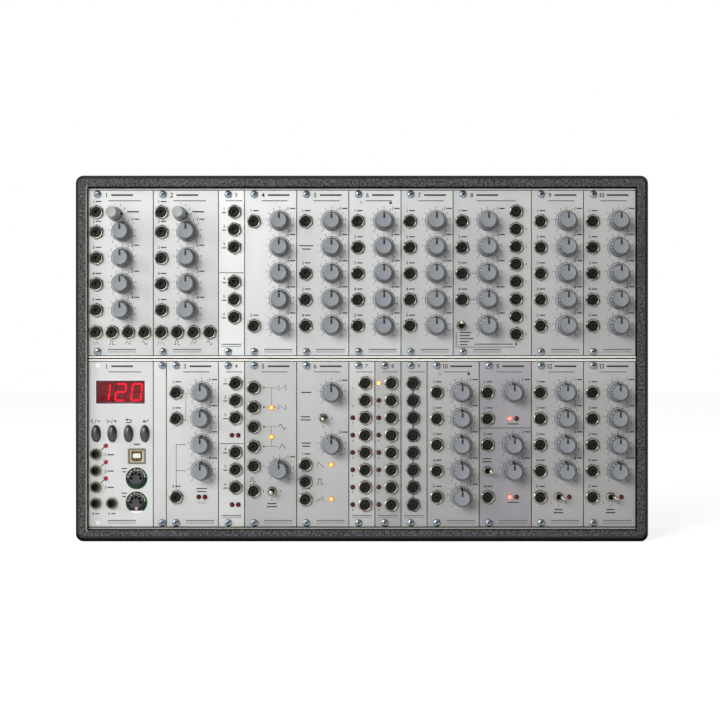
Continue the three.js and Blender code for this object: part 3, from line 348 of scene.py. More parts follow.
finishes = {
    "covering": covering("case_covering", (5, 5, 7), (96, 96, 97)),
    # Darker copies of the covering: painted shade on the case's outer edges, and a nearly black painted
    # shadow along its bottom and left front edge.
    "covering_edge": covering("case_covering_painted_shade", (4, 4, 4), (30, 30, 31)),
    "covering_foot": covering("case_covering_painted_shadow", (1, 1, 1), (12, 12, 12), 0.05),
    "inner_edge": surface("case_inner_edge", (188, 188, 172), 0.5, spread=0.15, seed=53),
    "inner_wall": surface("case_inner_wall", (16, 16, 16), 0.8, tone_scale=60, bump=0.3, bump_scale=500,
                          specular=0.1, seed=11),
    "rail": rail_finish("rail_anodised_painted_shade", rail_high[2] + 400),
    # The lowest rail's front is a dimmer copy of the pale metal: painted shade.
    "rail_low": rail_finish("lowest_rail_painted_shade", rail_low[2] + 1.1, (176, 175, 163)),
    "rail_top_painted_shadow": rail_finish("highest_rail_painted_shadow", top_rail_high[2] - 0.6),
    "ink": surface("panel_ink", (30, 30, 32), 0.55, spread=0.15, tone_scale=500, bump=0.1, seed=13),
    "ink_grey": surface("panel_ink_grey", (116, 116, 118), 0.55, spread=0.1, tone_scale=500, seed=54),
    "nickel": surface("socket_nickel", (141, 137, 125), 0.2, metal=1.0, spread=0.3, tone_scale=350, bump=0.06,
                      rough_spread=0.05, seed=14),
    # Darker nickel: on the washer under each nut it is painted shade round the nut's foot; it is also the nut
    # of the darker round sockets.
    "nickel_dark": surface("socket_nickel_dark_and_painted_shade", (96, 93, 86), 0.22, metal=0.9, spread=0.25, tone_scale=350,
                           bump=0.06, seed=55),
    "toggle_hollow": surface("toggle_hollow", (104, 92, 74), 0.4, metal=0.3, spread=0.2, tone_scale=500,
                             seed=56),
    "gold": surface("contact_brass", (150, 128, 84), 0.36, metal=1.0, tone_scale=400, seed=15),
    "steel": surface("screw_steel", (144, 154, 162), 0.3, metal=1.0, spread=0.15, tone_scale=500, bump=0.1,
                     bump_scale=2500, seed=16),
    # A darker copy of the screw's steel for the faces in its cross recess: painted shade.
    "recess": surface("screw_recess_painted_shade", (58, 62, 68), 0.4, metal=0.7, spread=0.2, tone_scale=500, seed=58),
    "chrome": surface("lever_chrome", (182, 179, 170), 0.14, metal=1.0, spread=0.03, tone_scale=200,
                      bump=0.03, rough_spread=0.04, seed=17),
    "bushing": surface("socket_bushing", (12, 12, 11), 0.4, spread=0.2, tone_scale=600, specular=0.2,
                       seed=18),
    "bushing_ring": surface("socket_ring", (42, 41, 37), 0.4, spread=0.15, tone_scale=600, specular=0.2,
                            seed=19),
    "hollow": surface("socket_hollow", (5, 5, 5), 0.6, spread=0.2, tone_scale=600, specular=0.1, seed=20),
    "knurl": surface("round_nut", (92, 92, 90), 0.38, metal=0.9, spread=0.15, tone_scale=500, seed=21),
    "washer": surface("washer_beige", (196, 188, 168), 0.45, metal=0.5, tone_scale=500, seed=22),
    "knob": surface("knob_plastic", (143, 147, 153), 0.5, spread=0.05, bump=0.2, bump_scale=2600, depth=0.06,
                    seed=23),
    "knob_skirt": surface("knob_skirt_plastic", (152, 155, 158), 0.24, spread=0.03, bump=0.05,
                          bump_scale=1200, depth=0.04, rough_spread=0.04, specular=0.8, seed=24),
    # A darker copy of the knob's plastic for its fluted flank: painted shade.
    "knob_side": surface("knob_side_painted_shade_plastic", (96, 99, 103), 0.36, spread=0.03, bump=0.05, bump_scale=1200,
                         depth=0.04, rough_spread=0.04, specular=1.0, seed=57),
    "pointer": surface("knob_pointer", (12, 12, 14), 0.5, spread=0.2, tone_scale=800, seed=25),
    "range_knob": surface("range_knob_plastic", (172, 177, 172), 0.48, spread=0.05, bump_scale=2600,
                          depth=0.06, seed=26),
    "button": surface("button_plastic", (12, 12, 13), 0.33, spread=0.1, bump=0.04, bump_scale=1800,
                      rough_spread=0.03, specular=0.85, seed=27),
    "shell": surface("data_shell", (126, 124, 108), 0.35, metal=0.6, seed=28),
    "shell_inside": surface("data_shell_inside", (158, 137, 98), 0.5, spread=0.15, seed=29),
    "data_insert": surface("data_insert", (208, 197, 170), 0.45, spread=0.05, seed=49),
    "tongue": surface("data_tongue", (250, 249, 244), 0.45, spread=0.02, seed=30),
    "board": surface("circuit_board", (36, 104, 58), 0.45, spread=0.12, tone_scale=160, bump=0.2, coat=0.3,
                     seed=31),
    "board_lit": surface("circuit_board_front", (8, 80, 38), 0.5, spread=0.3, tone_scale=500, bump=0.2,
                         specular=0.2, seed=50),
    "socket_face": surface("socket_face", (58, 58, 62), 0.5, spread=0.3, tone_scale=400, seed=51),
    "mark_grey": surface("socket_pin_rim", (200, 198, 178), 0.4, spread=0.2, tone_scale=900, seed=52),
    "part_black": surface("moulded_black", (30, 30, 31), 0.5, spread=0.15, seed=32),
    "ribbon": surface("ribbon_grey", (158, 158, 156), 0.5, stretch=(12, 1, 1), bump=0.4, bump_scale=200,
                      seed=33),
    "supply": surface("supply_sheet", (170, 172, 174), 0.4, metal=0.8, spread=0.06, tone_scale=60, seed=34),
    "rocker": surface("rocker_black", (22, 22, 23), 0.22, spread=0.1, bump=0.05, seed=35),
    "mark_white": surface("rocker_mark", (226, 226, 222), 0.5, spread=0.03, seed=36),
    "bare_edge": surface("bare_sheet_edge", (253, 254, 253), 0.4, spread=0.02, tone_scale=400, seed=48),
    "display": surface("display_window", (116, 12, 24), 0.18, spread=0.06, tone_scale=120, bump=0.02,
                       specular=0.3, seed=37),
    "display_edge": surface("display_edge", (24, 14, 16), 0.3, tone_scale=200, seed=38),
    "digit_lit": lamp_surface("display_segment_lit", (190, 16, 34), (1.0, 0.02, 0.035, 1.0), 0.95, 0.0),
    "lamp_dark": lamp_surface("lamp_dark_red", (92, 2, 8), colour(130, 4, 14), 0.03, 0.2),
    "lamp_red": lamp_surface("lamp_red", (150, 4, 10), colour(220, 10, 20), 0.06, 0.3),
    "lamp_lit": lamp_surface("lamp_lit_red", (230, 60, 60), (1.0, 0.14, 0.1, 1.0), 3.4),
    "lamp_orange": lamp_surface("lamp_lit_orange", (230, 140, 50), (1.0, 0.3, 0.03, 1.0), 2.4),
    "lamp_amber": lamp_surface("lamp_lit_amber", (230, 140, 70), (1.0, 0.36, 0.1, 1.0), 2.4),
}

TINTS = {"slew_limiter": (0, -2, 2), **{module: (1, 0, -1) for module in WARM}}
# The share by which painted light lightens a panel's top and darkens its foot; 0.1 for a panel not listed.
PAINTED_LIGHT_REACH = {"interface": 0.0, "lower_multiples": 0.05}
PALEST_PANEL = 0.96


def panel_finish(module, tone):
    """Anodised sheet with a fine short grain, and painted light: a little paler at the top than at the foot.
    """
    shift = dice.uniform(-1.5, 1.5)
    tones = [tone + tint + shift for tint in TINTS.get(module, (0, 1, 0))]
    material = surface(f"{module}_sheet", tones, 0.52, metal=0.06, spread=0.035, tone_scale=55,
                       stretch=(1, 1, 0.35), bump=0.12, bump_scale=3200, depth=0.04, rough_spread=0.06,
                       specular=0.3, seed=40 + dice.randrange(40))
    tree = material.node_tree
    base = tree.nodes["Principled BSDF"].inputs["Base Color"]
    top = box_mm(f"{module}_module")[1][2]
    reach = PAINTED_LIGHT_REACH.get(module, 0.1)
    drift = map_range(tree, object_axis(tree, "Z"), (top - PANEL_HEIGHT) * MM, top * MM,
                      1 - reach, min(1 + reach, PALEST_PANEL / linear(tone)))
    inputs = {0: base.links[0].from_socket, "Scale": drift}
    tree.links.new(add_node(tree, "VectorMath", inputs, "Vector", operation="SCALE"), base)
    return material


for module, plan in PLANS.items():
    finishes[f"{module}_sheet"] = panel_finish(module, plan["tone"])


# Shapes: points, faces and the finish of each face

def turned(points, turn, across=0, up=2):
    """The points turned in the plane of two axes, by an angle from the first to the second."""
    result = np.array(points, float)
    cos = math.cos(turn)
    sin = math.sin(turn)
    result[:, across] = points[:, across] * cos - points[:, up] * sin
    result[:, up] = points[:, across] * sin + points[:, up] * cos
    return result


class Form:
    """A mesh in the making. Panel places are measured from a left edge and a top."""

    def __init__(self, left=0.0, top=0.0):
        self.left = left
        self.top = top
        self.points = []
        self.faces = []
        self.marks = []
        self.size = 0

    def add(self, points, faces, marks):
        self.points.append(np.asarray(points, float))
        self.faces.extend([self.size + index for index in face] for face in faces)
        self.marks.extend([marks] * len(faces) if isinstance(marks, str) else marks)
        self.size += len(points)

    def stamp(self, shape, x, z, y=FRONT, turn=0.0):
        """Adds a shape at a place, turned about the Y axis."""
        points, faces, marks = shape
        self.add(turned(points, turn) + (x, y, z), faces, marks)

    def put(self, shape, x, down, turn=0.0):
        """Adds a shape at a place on the panel."""
        self.stamp(shape, self.left + x, self.top - down, turn=turn)

    def shape(self):
        return np.vstack(self.points), self.faces, self.marks


def shape_of(*parts):
    """One shape from several."""
    form = Form()
    for part in parts:
        form.add(*part)
    return form.shape()


def moved(shape, x, z, turn=0.0):
    form = Form()
    form.stamp(shape, x, z, 0.0, turn)
    return form.shape()


def mark_at(marks, level):
    return marks if isinstance(marks, str) else marks[level]


def band_faces(low, high, count):
    """The faces between two loops of points, each given by the number of its first point."""
    sides = [(side, (side + 1) % count) for side in range(count)]
    return [[low + side, low + after, high + after, high + side] for side, after in sides]


def circle(x, down, radius, sides=32):
    angles = [2 * math.pi * side / sides for side in range(sides)]
    return [(x + radius * math.cos(angle), down + radius * math.sin(angle)) for angle in angles]


def lathe(profile, sides, marks, reach=None):
    """A turned form. The profile runs from its outer back edge over its front and towards the middle."""
    points = []
    faces = []
    face_marks = []
    for level, (radius, height) in enumerate(profile):
        start = len(points)
        low = start - sides
        if radius == 0:
            points.append((0, -height, 0))
            band = [[low + side, low + (side + 1) % sides, start] for side in range(sides)]
        else:
            for side in range(sides):
                angle = 2 * math.pi * side / sides
                far = reach(angle, radius, height) if reach else radius
                points.append((far * math.cos(angle), -height, far * math.sin(angle)))
            band = band_faces(low, start, sides) if level else []
        faces += band
        face_marks += [mark_at(marks, level - 1)] * len(band)
    return np.array(points, float), faces, face_marks


def stack(outline, steps, marks, back=True, front=True):
    """Loops of one outline at several insets and heights, joined and closed."""
    points = [(x, -height, z) for inset, height in steps for x, z in outline(inset)]
    count = len(points) // len(steps)
    last = len(points) - count
    faces = [face for low in range(0, last, count) for face in band_faces(low, low + count, count)]
    face_marks = [mark_at(marks, index // count) for index in range(last)]
    if back:
        faces.append(list(range(count - 1, -1, -1)))
        face_marks.append(mark_at(marks, 0))
    if front:
        faces.append(list(range(last, last + count)))
        face_marks.append(mark_at(marks, -1))
    return np.array(points, float), faces, face_marks


def round_box_outline(width, height, radius, steps=4):
    """The points of a rectangle with round corners, for any inset, anticlockwise as seen from the front."""
    def outline(inset):
        half_x = width / 2 - inset
        half_z = height / 2 - inset
        bend = max(0.02, min(radius - inset, half_x, half_z))
        points = []
        for corner, (side_x, side_z) in enumerate(((1, 1), (-1, 1), (-1, -1), (1, -1))):
            for step in range(steps + 1):
                angle = math.pi / 2 * (corner + step / steps)
                points.append((
                    side_x * (half_x - bend) + bend * math.cos(angle),
                    side_z * (half_z - bend) + bend * math.sin(angle),
                ))
        return points
    return outline


def block(width, height, back, front, marks, edge=0.2, radius=0.3):
    """A box with eased edges, from its back height to its front height."""
    steps = [(edge, back), (0, back + edge), (0, front - edge), (edge, front)]
    return stack(round_box_outline(width, height, radius, 2), steps, marks)


def add_object(name, data):
    thing = bpy.data.objects.new(name, data)
    bpy.context.scene.collection.objects.link(thing)
    return thing


def new_object(name, points, faces, marks, sharp=32):
    mesh = bpy.data.meshes.new(name)
    mesh.from_pydata((np.asarray(points) * MM).tolist(), [], faces)
    used = sorted(set(marks))
    for mark in used:
        mesh.materials.append(finishes[mark])
    mesh.polygons.foreach_set("material_index", [used.index(mark) for mark in marks])
    mesh.shade_smooth()
    mesh.set_sharp_from_angle(angle=math.radians(sharp))
    mesh.validate()
    return add_object(name, mesh)


def new_piece(name, form, body="cabinet", node=None, slot=None, sharp=32):
    """Makes an object of the form, on its body."""
    piece = new_object(name, *form.shape(), sharp)
    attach(piece, body)
    if node:
        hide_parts(node)


def combine(thing, other, operation="DIFFERENCE"):
    modifier = thing.modifiers.new("combine", "BOOLEAN")
    modifier.operation = operation
    modifier.solver = "EXACT"
    modifier.object = other


def evaluated_mesh(thing):
    return bpy.data.meshes.new_from_object(thing.evaluated_get(bpy.context.evaluated_depsgraph_get()))


def take_mesh(thing, *others):
    """The points, in metres, and the faces of a finished object, which is removed with the others."""
    mesh = evaluated_mesh(thing)
    points = np.array([vertex.co[:] for vertex in mesh.vertices])
    faces = [list(polygon.vertices) for polygon in mesh.polygons]
    bpy.data.meshes.remove(mesh)
    for used in (thing, *others):
        bpy.data.objects.remove(used)
    return points, faces


# Turned and moulded parts

NUT_APOTHEM = 5.06
NUT_CONE_RADIUS = 4.66
NUT_TOP = 2.2
NUT_CONE_SLOPE = 1.5
BORE_END = [(1.68, -6.0), (0, -6.0)]
SKIRT_TOP = 5.0
FLUTES = 16
RANGE_TOP = 21.9
RIBS = 18
KNOB_BODY = [
    (7.5, 0.3), (7.73, 0.42), (7.75, 0.9), (7.65, 1.25), (7.2, 1.9), (6.85, 3.0), (6.72, 4.6), (6.64, 4.8),
    (6.56, 5.1), (6.46, 7.5), (6.36, 11.5), (6.28, 14.0), (6.2, 14.7), (6.05, 15.2), (5.8, 15.45),
    (5.48, 15.5), (5.2, 15.43), (2.0, 15.36), (0, 15.35),
]
KNOB_POINTER = [
    (1.3, 15.42), (5.22, 15.48), (5.5, 15.55), (5.82, 15.5), (6.1, 15.24), (6.26, 14.72), (6.34, 14.0),
    (6.42, 11.5), (6.52, 7.5), (6.62, 5.15), (6.7, 4.84), (6.78, 4.62), (6.92, 3.04), (7.26, 1.96),
    (7.7, 1.3),
]
POINTER_HALF_WIDTH = 0.76
RANGE_KNOB_BODY = [
    (5.1, 0.3), (5.4, 0.5), (5.4, 1.9), (5.2, 2.1), (5.1, 5.6), (5.0, 6.1), (4.8, 7.0), (4.3, 20.4),
    (4.2, 21.2), (3.95, RANGE_TOP - 0.15), (3.6, RANGE_TOP), (3.2, RANGE_TOP - 0.12), (0, RANGE_TOP - 0.15),
]
RANGE_POINTER = [(0.2, -1.7), (6.0, -0.75), (6.45, 0.0), (6.0, 0.75), (0.2, 1.7)]
LEVER_BODY = [
    (0.9, -1.7), (1.6, -1.1), (1.93, -0.2), (1.85, 0.6), (1.35, 1.4), (1.0, 2.1), (0.98, 3.0), (1.1, 6.0),
    (1.38, 10.2), (1.46, 11.4), (1.3, 12.1), (0.85, 12.42), (0, 12.5),
]


def jack_shape(metal):
    """A patch socket seen from the front: washer, six-sided nut, round bushing and its bore."""
    def six_sided(angle, radius, height):
        if radius < NUT_APOTHEM:
            return radius
        flat = NUT_APOTHEM / math.cos(angle % (math.pi / 3) - math.pi / 6)
        return min(flat, NUT_CONE_RADIUS + (NUT_TOP - height) * NUT_CONE_SLOPE)
    flank = [(5.1, height) for height in (0.28, 1.35, 1.5, 1.65, 1.8, 1.95, 2.1, NUT_TOP)]
    nut = lathe(flank + [(4.45, NUT_TOP), (4.3, 2.16), (3.8, 1.8), (3.6, 1.6)], 72, metal, six_sided)
    # The washer's dark nickel is painted shade round the nut's foot.
    washer = lathe([(5.3, 0.0), (5.3, 0.18), (5.2, 0.26), (4.0, 0.26)], 40, "nickel_dark")
    rim = [(3.66, 1.3), (3.66, 2.25), (3.5, 2.4), (3.1, 2.4), (2.95, 2.2), (2.4, 2.15), (2.2, 2.3),
           (1.85, 2.3), (1.7, 2.1)]
    bushing = lathe(rim + BORE_END, 40, ["bushing"] * 5 + ["bushing_ring"] * 3 + ["hollow"] * 2)
    return shape_of(nut, washer, bushing)


def round_jack_shape():
    """A socket with a knurled round nut on a pale washer."""
    def knurl(angle, radius, height):
        if radius < 4.05 or height < 0.3:
            return radius
        return radius + 0.14 * math.cos(angle * 22)
    washer = lathe([(5.2, 0.0), (5.2, 0.2), (5.08, 0.3), (4.0, 0.3)], 48, "washer")
    rim = [(4.12, 0.3), (4.12, 2.5), (3.8, 2.8), (3.1, 2.8), (2.9, 2.5), (2.55, 2.4), (2.4, 2.6), (1.85, 2.6),
           (1.7, 2.4)]
    marks = ["knurl"] * 4 + ["hollow"] + ["bushing"] * 3 + ["hollow"] * 2
    return shape_of(washer, lathe(rim + BORE_END, 112, marks, knurl))


def screw_shape():
    """A domed screw head with a cross recess, cut once and stamped everywhere."""
    profile = [(2.6, 0.0), (2.88, 0.15), (SCREW_RADIUS, 0.6), (2.72, 1.05), (2.3, 1.42), (1.6, 1.68),
               (0.8, 1.8), (0, 1.82)]
    points, faces, marks = lathe(profile, 40, "steel")
    head = new_object("screw_head", points, faces + [list(range(39, -1, -1))], marks + ["steel"])
    arm = stack(round_box_outline(3.6, 0.95, 0.1, 2), [(0.25, 0.75), (0.0, 2.4)], "steel")
    cutters = [new_object("screw_cutter", *moved(arm, 0, 0, turn)) for turn in (0, math.pi / 2)]
    for cutter in cutters:
        combine(head, cutter)
    points, faces = take_mesh(head, *cutters)
    points = points / MM
    marks = []
    for face in faces:
        x, y, z = points[face].mean(0)
        # Faces inside the cross recess take the darker steel: painted shade.
        marks.append("recess" if math.hypot(x, z) < 1.85 and -1.35 < y < -0.5 else "steel")
    return points, faces, marks


def knob_shape():
    """A pot knob with a conical skirt, a fluted cap and a black pointer, pointing up."""
    def flutes(angle, radius, height):
        if height < SKIRT_TOP or radius < 4.5:
            return radius
        depth = 1.05 - 0.05 * (height - SKIRT_TOP)
        return radius - depth * abs(math.cos(angle * FLUTES / 2)) ** 0.6
    # The fluted flank is darker than the cap and skirt: painted shade.
    marks = ["pointer"] + ["knob_skirt"] * 3 + ["knob_side"] * 8 + ["knob"] * 6
    points = []
    faces = []
    for radius, height in KNOB_POINTER:
        for far, tall in ((radius, height), (radius - 0.35, height - 0.21)):
            points += [(-POINTER_HALF_WIDTH, -tall, far), (POINTER_HALF_WIDTH, -tall, far)]
    last = len(points) - 4
    for start in range(0, last, 4):
        for pair in ((0, 1), (1, 3), (2, 0)):
            low, high = (start + corner for corner in pair)
            faces.append([low, high, high + 4, low + 4])
    faces += [[0, 2, 3, 1], [last, last + 1, last + 3, last + 2]]
    pointer = (np.array(points), faces, ["pointer"] * len(faces))
    return shape_of(lathe(KNOB_BODY, 192, marks, flutes), pointer)


def range_knob_shape():
    """A tall slim knob with a long pointer at its foot, pointing to the right."""
    def ribs(angle, radius, height):
        if height < 6.5 or height > 20.9 or radius < 4.1:
            return radius
        return radius - 0.3 * (0.5 + 0.5 * math.cos(angle * RIBS))
    body = lathe(RANGE_KNOB_BODY, 96, ["pointer"] * 3 + ["range_knob"] * 9, ribs)
    wedge = stack(
        lambda inset: [(x - inset * (x > 5), z * (1 - inset / 2)) for x, z in RANGE_POINTER],
        [(0.15, 0.35), (0, 0.5), (0, 5.7), (0.25, 6.0)], "pointer",
    )
    return shape_of(body, wedge)


def lamp_shape(mark):
    if mark == "lamp_red":
        return lathe([(1.75, 0.0), (1.75, 0.2), (1.5, 0.6), (1.1, 0.9), (0.6, 1.05), (0, 1.1)], 28, mark)
    collar = lathe([(1.9, 0.0), (1.9, 0.25), (1.7, 0.4), (1.62, 0.4)], 28, "bushing")
    dome = [(1.6, 0.0), (1.6, 0.7), (1.5, 1.05), (1.25, 1.35), (0.85, 1.55), (0.4, 1.62), (0, 1.64)]
    return shape_of(collar, lathe(dome, 28, mark))


def toggle_bush_shape():
    """The threaded bush of a toggle switch with its round nut."""
    def thread(angle, radius, height):
        if radius < 2.85 or height < 1.65:
            return radius
        return radius - 0.08 * math.cos(height * 9)
    nut = lathe([(3.9, 0.0), (3.9, 1.2), (3.7, 1.45), (3.0, 1.5)], 12, "nickel")
    flank = [(3.0, height) for height in (1.4, 1.8, 2.15, 2.5, 2.85)]
    mouth = [(2.95, 3.2), (2.75, 3.4), (2.35, 3.4), (2.2, 3.2), (2.15, -1.8), (0, -2.0)]
    return shape_of(nut, lathe(flank + mouth, 36, ["nickel"] * 8 + ["toggle_hollow"] * 2, thread))


def oval_outline(width, height, sides=48):
    """The points of an oval, for any share that it is made smaller by."""
    def outline(share):
        return [(x * width * (1 - share), z * height * (1 - share)) for x, z in circle(0, 0, 0.5, sides)]
    return outline


def button_shape():
    """A domed oval button with its shoulder below the panel's slot."""
    angles = [math.radians(6 * step) for step in range(1, 15)]
    dome = [(1 - math.cos(angle), 1.0 + 2.18 * math.sin(angle)) for angle in angles]
    return stack(oval_outline(6.9, 12.9, 72), [(0.0, -8.5), (0.0, 1.0)] + dome, "button")


def glyph_shape(sign):
    """A digit as a flat mesh of height one, from the built-in font, and its width."""
    text = bpy.data.curves.new("glyph", "FONT")
    text.body = sign
    text.resolution_u = 2
    text.offset = 0.014
    points, faces = take_mesh(add_object("glyph", text))
    bpy.data.curves.remove(text)
    flat = points[:, :2] - points[:, :2].min(0)
    flat = flat / flat[:, 1].max()
    return flat, faces, flat[:, 0].max()


GLYPHS = {sign: glyph_shape(sign) for sign in "0123456789"}
JACK = jack_shape("nickel")
DARK_JACK = jack_shape("nickel_dark")
ROUND_JACK = round_jack_shape()
SCREW = screw_shape()
KNOB = knob_shape()
RANGE_KNOB = range_knob_shape()
BUSH = toggle_bush_shape()
LEVER = lathe(LEVER_BODY, 28, "chrome")
BUTTON = button_shape()
LAMPS = {f"lamp_{tone}": lamp_shape(f"lamp_{tone}") for tone in ("dark", "red", "lit", "orange", "amber")}


# Print on the panels

RING_RADIUS = 8.5
TICK_RADII = (8.45, 9.3)
SCALE_NUMBER_RADIUS = 10.7
SCALE_START = 225
SCALE_STEP = 27
TEXT_LINE = 0.9
TEXT_PITCH = 2.4
HAIRLINE = 0.25
SHARPEST_BEND = 0.35


class Print(Form):
    """Flat ink on a panel: bars, numbers and lines."""

    finish = "ink"

    def flat(self, places, faces):
        points = [(self.left + x, FRONT - INK_HEIGHT, self.top - down) for x, down in places]
        self.add(points, faces, self.finish)

    def bar(self, x, down, width, height=TEXT_LINE):
        half_x = width / 2
        half_z = height / 2
        corners = ((-half_x, half_z), (half_x, half_z), (half_x, -half_z), (-half_x, -half_z))
        self.flat([(x + right, down + lower) for right, lower in corners], [[0, 1, 2, 3]])

    def lines(self, x, down, lengths, height=TEXT_LINE, pitch=TEXT_PITCH):
        """Bars below each other, round a middle."""
        for index, length in enumerate(lengths):
            self.bar(x, down + pitch * (index - (len(lengths) - 1) / 2), length, height)

    def dot(self, x, down, radius, sides):
        self.flat(circle(x, down, radius, sides)[::-1], [list(range(sides))])

    def number(self, value, x, down, height):
        """A number with its middle at x and down."""
        signs = [GLYPHS[sign] for sign in str(value)]
        gap = 0.14
        width = sum(sign[2] for sign in signs) + gap * (len(signs) - 1)
        start = x - width * height / 2
        for flat, faces, reach in signs:
            self.flat([(start + px * height, down + height / 2 - pz * height) for px, pz in flat], faces)
            start += (reach + gap) * height

    def label(self, value, x, down, height, gap, length, line=TEXT_LINE):
        """A number and, a gap further on, a bar."""
        self.number(value, x, down, height)
        self.bar(x + gap, down, length, line)

    def stroke(self, path, width):
        """A line of even width through the places of a path, with mitred bends."""
        points = [np.array(place, float) for place in path]
        ways = [(after - here) / np.linalg.norm(after - here) for here, after in zip(points, points[1:])]
        places = []
        for here, before, after in zip(points, ways[:1] + ways, ways + ways[-1:]):
            middle = (before + after) / 2
            normal = np.array((middle[1], -middle[0]))
            bend = normal / max(SHARPEST_BEND, normal @ normal) * width / 2
            places += [tuple(here + bend), tuple(here - bend)]
        self.flat(places, [[low, low + 1, low + 3, low + 2] for low in range(0, len(places) - 2, 2)])

    def arrow(self, x, down):
        """A filled arrow head with its tip on the left."""
        self.flat([(x, down), (x + 1.9, down + 1.3), (x + 1.9, down - 1.3)], [[0, 1, 2]])

    def arc(self, x, down, radius, width, start, end, steps):
        """Part of a ring, between two angles in degrees, clockwise from start to end."""
        angles = [math.radians(start + (end - start) * step / steps) for step in range(steps + 1)]
        path = [(x + radius * math.cos(angle), down - radius * math.sin(angle)) for angle in angles]
        self.stroke(path, width)

    def scale(self, x, down):
        """The ring, ticks and numbers round a knob."""
        self.arc(x, down, RING_RADIUS, 0.4, SCALE_START, SCALE_START - 10 * SCALE_STEP, 54)
        for step in range(11):
            angle = math.radians(SCALE_START - SCALE_STEP * step)
            cos = math.cos(angle)
            sin = math.sin(angle)
            self.stroke([(x + reach * cos, down - reach * sin) for reach in TICK_RADII], 0.34)
            self.number(step, x + SCALE_NUMBER_RADIUS * cos, down - SCALE_NUMBER_RADIUS * sin, 1.35)

    def wave(self, kind, x, down, width=5.4, height=4.0, line=0.5):
        """A plain sign for a wave form."""
        path = [(x + width * across, down - height * up) for across, up in WAVES[kind]]
        self.stroke(path, line)


WAVES = {
    "rise_and_drop": [(-0.5, 0.5), (-0.5, -0.5), (0.5, 0.5), (0.5, -0.5)],
    "drop_and_rise": [(-0.5, -0.5), (-0.5, 0.5), (0.5, -0.5), (0.5, 0.5)],
    "peak": [(-0.5, -0.5), (0, 0.5), (0.5, -0.5)],
    "rising": [(-0.5, -0.5), (0.35, 0.5), (0.35, -0.5)],
    "falling": [(-0.5, -0.5), (-0.35, 0.5), (0.4, -0.5), (0.5, -0.5)],
    "saw": [(-0.5, -0.5), (-0.5, 0.5), (0, -0.5), (0, 0.5), (0.5, -0.5)],
    "triangle": [(-0.5, -0.5), (-1 / 6, 0.5), (1 / 6, -0.5), (0.5, 0.5)],
    "pulse": [(-0.5, -0.5), (-0.3, -0.5), (-0.3, 0.5), (0.1, 0.5), (0.1, -0.5), (0.5, -0.5)],
    "sine": [(step / 18 - 0.5, math.sin(step / 18 * 2 * math.pi) / 2) for step in range(19)],
}


# Panels, cut from their outline with every hole that the real sheet has

EDGE_EASE = 0.14
HOLES = {"jacks": (3.3, 24), "round_jacks": (3.3, 24), "knobs": (3.4, 24), "range_knobs": (3.4, 24),
         "toggles": (2.9, 24), "lamps": (1.5, 20)}


def panel_form(module, left, top, width, holes):
    """A sheet with its holes. A hole is a list of points, in the panel's own places."""
    curve = bpy.data.curves.new(f"{module}_outline", "CURVE")
    curve.dimensions = "2D"
    curve.fill_mode = "BOTH"
    curve.extrude = (PANEL_THICKNESS / 2 - EDGE_EASE) * MM
    curve.bevel_depth = EDGE_EASE * MM
    curve.bevel_resolution = 1
    curve.offset = -EDGE_EASE * MM
    start = PANEL_GAP / 2 + 0.06
    end = width - start
    outer = [(start, PANEL_HEIGHT), (end, PANEL_HEIGHT), (end, 0), (start, 0)]
    for path in [outer] + holes:
        spline = curve.splines.new("POLY")
        spline.points.add(len(path) - 1)
        for point, (x, down) in zip(spline.points, path):
            point.co = (x * MM, -down * MM, 0, 1)
        spline.use_cyclic_u = True
    points, faces = take_mesh(add_object(f"{module}_outline", curve))
    bpy.data.curves.remove(curve)
    x, up, out = points.T / MM
    form = Form()
    places = np.column_stack((x + left, FRONT + PANEL_THICKNESS / 2 - out, up + top))
    form.add(places, faces, f"{module}_sheet")
    return form


JACK_BODY = shape_of(
    block(9, 10, BOARD_FRONT, -PANEL_THICKNESS, "part_black", 0.3, 0.4),
    moved(block(3.4, 3.4, BOARD_FRONT - 0.1, BOARD_FRONT + 3, "part_black", 0.1), 0, -4.6),
)
POT_BODY = shape_of(
    block(13, 13.4, BOARD_FRONT, -3.2, "nickel", 0.4, 0.8),
    block(9.6, 9.6, -3.3, -PANEL_THICKNESS, "nickel", 0.2, 2.0),
)
TOGGLE_BODY = block(8, 12.5, BOARD_FRONT, -PANEL_THICKNESS, "part_black", 0.3, 0.4)
WORKS = {"jacks": JACK_BODY, "round_jacks": JACK_BODY, "knobs": POT_BODY, "range_knobs": POT_BODY,
         "toggles": TOGGLE_BODY}
RIBBON_WIDTH = 12.7
RIBBON_THICKNESS = 1.0
RIBBON_DROP = 15
RIBBON_STEPS = 14
PLUG_SEAT = 9.7


def works_form(module, left, top, width, plan):
    """What stands behind a panel: its board, the bodies of its controls and its flat cable."""
    form = Form(left, top)
    board = block(width - 2.4, PANEL_HEIGHT - 25, BOARD_FRONT - 1.6, BOARD_FRONT, "board", 0.1, 0.4)
    form.put(board, width / 2, PANEL_HEIGHT / 2)
    for kind, body in WORKS.items():
        for place in plan[kind]:
            form.put(body, *in_panel(place))
    if module not in PASSIVE:
        add_ribbon(form, left + width / 2, top - PANEL_HEIGHT / 2)
    return form


